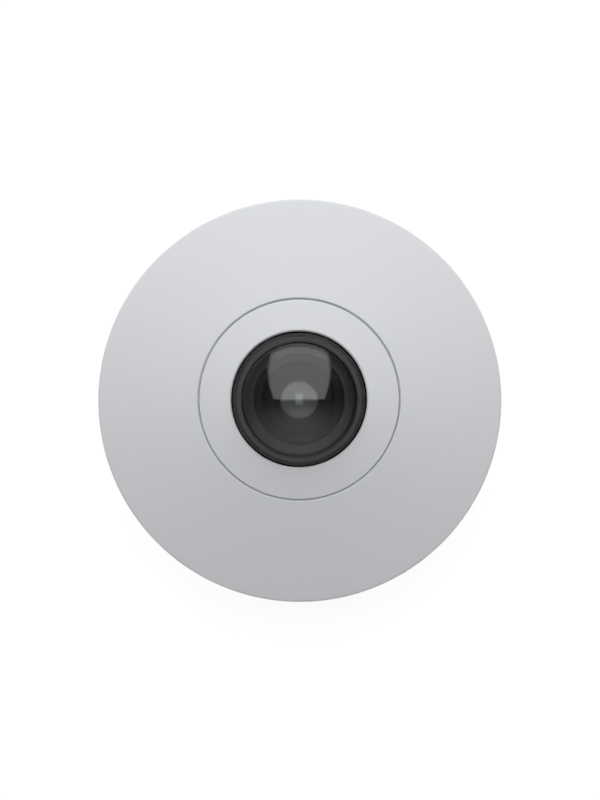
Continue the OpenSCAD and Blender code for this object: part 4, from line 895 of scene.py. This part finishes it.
def softbox():
    """One rectangular lamp from over the front to low on the +Y side, which the picture doesn't show."""
    data = bpy.data.lights.new("softbox", "AREA")
    data.shape = "RECTANGLE"
    data.size = SOFTBOX_WIDTH
    data.size_y = (SOFTBOX_FAR - SOFTBOX_NEAR).length
    data.energy = SOFTBOX_POWER
    lamp = bpy.data.objects.new("softbox", data)
    bpy.context.scene.collection.objects.link(lamp)
    middle = (SOFTBOX_NEAR + SOFTBOX_FAR) / 2
    facing = (SOFTBOX_FAR - SOFTBOX_NEAR).cross(Vector((1, 0, 0))).normalized()
    aim(lamp, middle, middle + facing)
    lamp.visible_camera = False


FLOOR_HOLE_R = 64.0
FLOOR_R = 540.0
FLOOR_Z = -0.2
FLOOR_STEPS = 96
FLOOR_GLOW = 0.92


def white_paper():
    """Paper that looks plain white with a faint shadow, lights its surroundings as paper does, and is
    open to light from below.
    """
    material = bpy.data.materials.new("white_paper")
    material.use_nodes = True
    tree = material.node_tree
    tree.nodes.clear()
    rays = add(tree, "LightPath")
    seen = add(tree, "Math", {0: rays.outputs["Is Camera Ray"], 1: rays.outputs["Is Glossy Ray"]},
               operation="MAXIMUM")
    seen = add(tree, "Math", {0: seen.outputs[0], 1: rays.outputs["Is Transmission Ray"]},
               operation="MAXIMUM")
    paper = add(tree, "BsdfDiffuse", {"Color": linear("E6E7E8")})
    shadow = add(tree, "BsdfDiffuse", {"Color": linear("7B7B7B")})
    glow = add(tree, "Emission", {"Color": (1, 1, 1, 1), "Strength": FLOOR_GLOW})
    white = add(tree, "AddShader", {0: shadow.outputs[0], 1: glow.outputs[0]})
    top = add(tree, "MixShader", {0: seen.outputs[0], 1: paper.outputs[0], 2: white.outputs[0]})
    side = add(tree, "NewGeometry")
    clear = add(tree, "BsdfTransparent")
    both = add(tree, "MixShader", {0: side.outputs["Backfacing"], 1: top.outputs[0], 2: clear.outputs[0]})
    add(tree, "OutputMaterial", {"Surface": both.outputs[0]})
    return material


def floor():
    """White sheet round the foot, with a hole under it so that light reaches the back."""
    mesh = bmesh.new()
    ends = [mesh.verts.new((r * MM, 0, FLOOR_Z * MM)) for r in (FLOOR_HOLE_R, FLOOR_R)]
    mesh.edges.new(ends)
    bmesh.ops.spin(mesh, geom=mesh.verts[:] + mesh.edges[:], cent=(0, 0, 0), axis=(0, 0, 1),
                   angle=2 * math.pi, steps=FLOOR_STEPS, use_merge=True)
    mesh.normal_update()
    downward = [face for face in mesh.faces if face.normal.z < 0]
    bmesh.ops.reverse_faces(mesh, faces=downward)
    data = bpy.data.meshes.new("floor")
    mesh.to_mesh(data)
    mesh.free()
    data.materials.append(white_paper())
    sheet = bpy.data.objects.new("floor", data)
    bpy.context.scene.collection.objects.link(sheet)


# Light from all round, by the way that a ray goes: its Z is 1 straight up and -1 straight down

FILL_LEVEL = 0.215
FILL_FOCUS = 1.2
FILL_NONE_Z = 0.997
FILL_FULL_Z = 0.94
DARK_LEVEL = 0.015
UNDER_LEVEL = 0.45
UNDER_NONE_Z = -0.1
UNDER_FULL_Z = -0.4
MIRROR_GAIN = 2.6
SIDE_LEVEL = 2.0
SIDE_RISE = 0.15
HALF_BOUNCE = 0.5


def dim_light(tree, way, height):
    """Near dark, with a fill from the -Y side that fades towards straight up, and some light from below."""
    level_way = add(tree, "VectorMath", {0: way, 1: (1, 1, 0)}, operation="MULTIPLY")
    level_way = add(tree, "VectorMath", {0: level_way.outputs["Vector"]}, operation="NORMALIZE")
    front = add(tree, "VectorMath", {0: level_way.outputs["Vector"], 1: (0, -1, 0)}, operation="DOT_PRODUCT")
    front = add(tree, "Math", {0: front.outputs["Value"], 1: 0.0}, operation="MAXIMUM")
    front = add(tree, "Math", {0: front.outputs[0], 1: FILL_FOCUS}, operation="POWER")
    rise = add(tree, "MapRange", {"Value": height, "From Min": FILL_NONE_Z, "From Max": FILL_FULL_Z,
                                  "To Min": 0.0, "To Max": FILL_LEVEL})
    fill = add(tree, "Math", {0: front.outputs[0], 1: rise.outputs["Result"], 2: DARK_LEVEL},
               operation="MULTIPLY_ADD")
    under = add(tree, "MapRange", {"Value": height, "From Min": UNDER_NONE_Z, "From Max": UNDER_FULL_Z,
                                   "To Min": 0.0, "To Max": UNDER_LEVEL})
    light = add(tree, "Math", {0: fill.outputs[0], 1: under.outputs["Result"]}, operation="ADD")
    return light.outputs[0]


def level_band(tree, height):
    """A bright level band all round, for the rim and the side wall."""
    steep = add(tree, "Math", {0: height}, operation="ABSOLUTE")
    band = add(tree, "MapRange", {"Value": steep.outputs[0], "From Min": SIDE_RISE, "From Max": 0.0,
                                  "To Min": 0.0, "To Max": SIDE_LEVEL})
    return band.outputs["Result"]


def looked_at(tree, rays):
    """Whether a ray runs from the camera to the world with no bounce, through the air or through glass."""
    seen = add(tree, "Math", {0: rays["Is Camera Ray"], 1: rays["Is Transmission Ray"]}, operation="MAXIMUM")
    bounces = add(tree, "Math", {0: rays["Diffuse Depth"], 1: rays["Glossy Depth"]}, operation="ADD")
    unbounced = add(tree, "Math", {0: bounces.outputs[0], 1: HALF_BOUNCE}, operation="LESS_THAN")
    seen = add(tree, "Math", {0: seen.outputs[0], 1: unbounced.outputs[0]}, operation="MULTIPLY")
    return seen.outputs[0]


def world():
    """White where it is looked at. Elsewhere dim light, which mirrors show brighter, and a bright level
    band, which they don't show.
    """
    made = bpy.data.worlds.new("studio")
    bpy.context.scene.world = made
    made.use_nodes = True
    tree = made.node_tree
    tree.nodes.clear()
    way = add(tree, "TexCoord").outputs["Generated"]
    height = add(tree, "SeparateXYZ", {0: way}).outputs["Z"]
    rays = add(tree, "LightPath").outputs
    gain = add(tree, "Mix", {0: rays["Is Glossy Ray"], 2: 1.0, 3: MIRROR_GAIN}, data_type="FLOAT")
    dim = add(tree, "Math", {0: dim_light(tree, way, height), 1: gain.outputs[0]}, operation="MULTIPLY")
    dull = add(tree, "Math", {0: 1.0, 1: rays["Is Glossy Ray"]}, operation="SUBTRACT")
    light = add(tree, "Math", {0: level_band(tree, height), 1: dull.outputs[0], 2: dim.outputs[0]},
                operation="MULTIPLY_ADD")
    level = add(tree, "Mix", {0: looked_at(tree, rays), 2: light.outputs[0], 3: 1.0}, data_type="FLOAT")
    background = add(tree, "Background", {"Color": (1, 1, 1, 1), "Strength": level.outputs[0]})
    add(tree, "OutputWorld", {"Surface": background.outputs[0]})


CAMERA_DISTANCE = 1.5
CAMERA_LEAN = math.radians(1.9)
CAMERA_SWING = math.radians(1.28)
LENS_PER_METRE = 137.56
SENSOR_WIDTH = 36
CLIP_NEAR = 0.05
CLIP_FAR = 50
AIM_AT = Vector((0.135, 0.016, 0)) * MM + Vector((0, 0, RIM_Z * MM))


def camera():
    """A long lens, a little below the optical axis and to its right."""
    data = bpy.data.cameras.new("camera")
    data.sensor_width = SENSOR_WIDTH
    data.lens = LENS_PER_METRE * CAMERA_DISTANCE
    data.clip_start = CLIP_NEAR
    data.clip_end = CLIP_FAR
    made = bpy.data.objects.new("camera", data)
    bpy.context.scene.collection.objects.link(made)
    side, down = math.sin(CAMERA_SWING), -math.sin(CAMERA_LEAN)
    way = Vector((side, down, math.sqrt(1 - side ** 2 - down ** 2)))
    aim(made, AIM_AT + way * CAMERA_DISTANCE, AIM_AT)
    bpy.context.scene.camera = made


softbox()
floor()
world()
camera()
bpy.context.scene.view_settings.view_transform = "Standard"
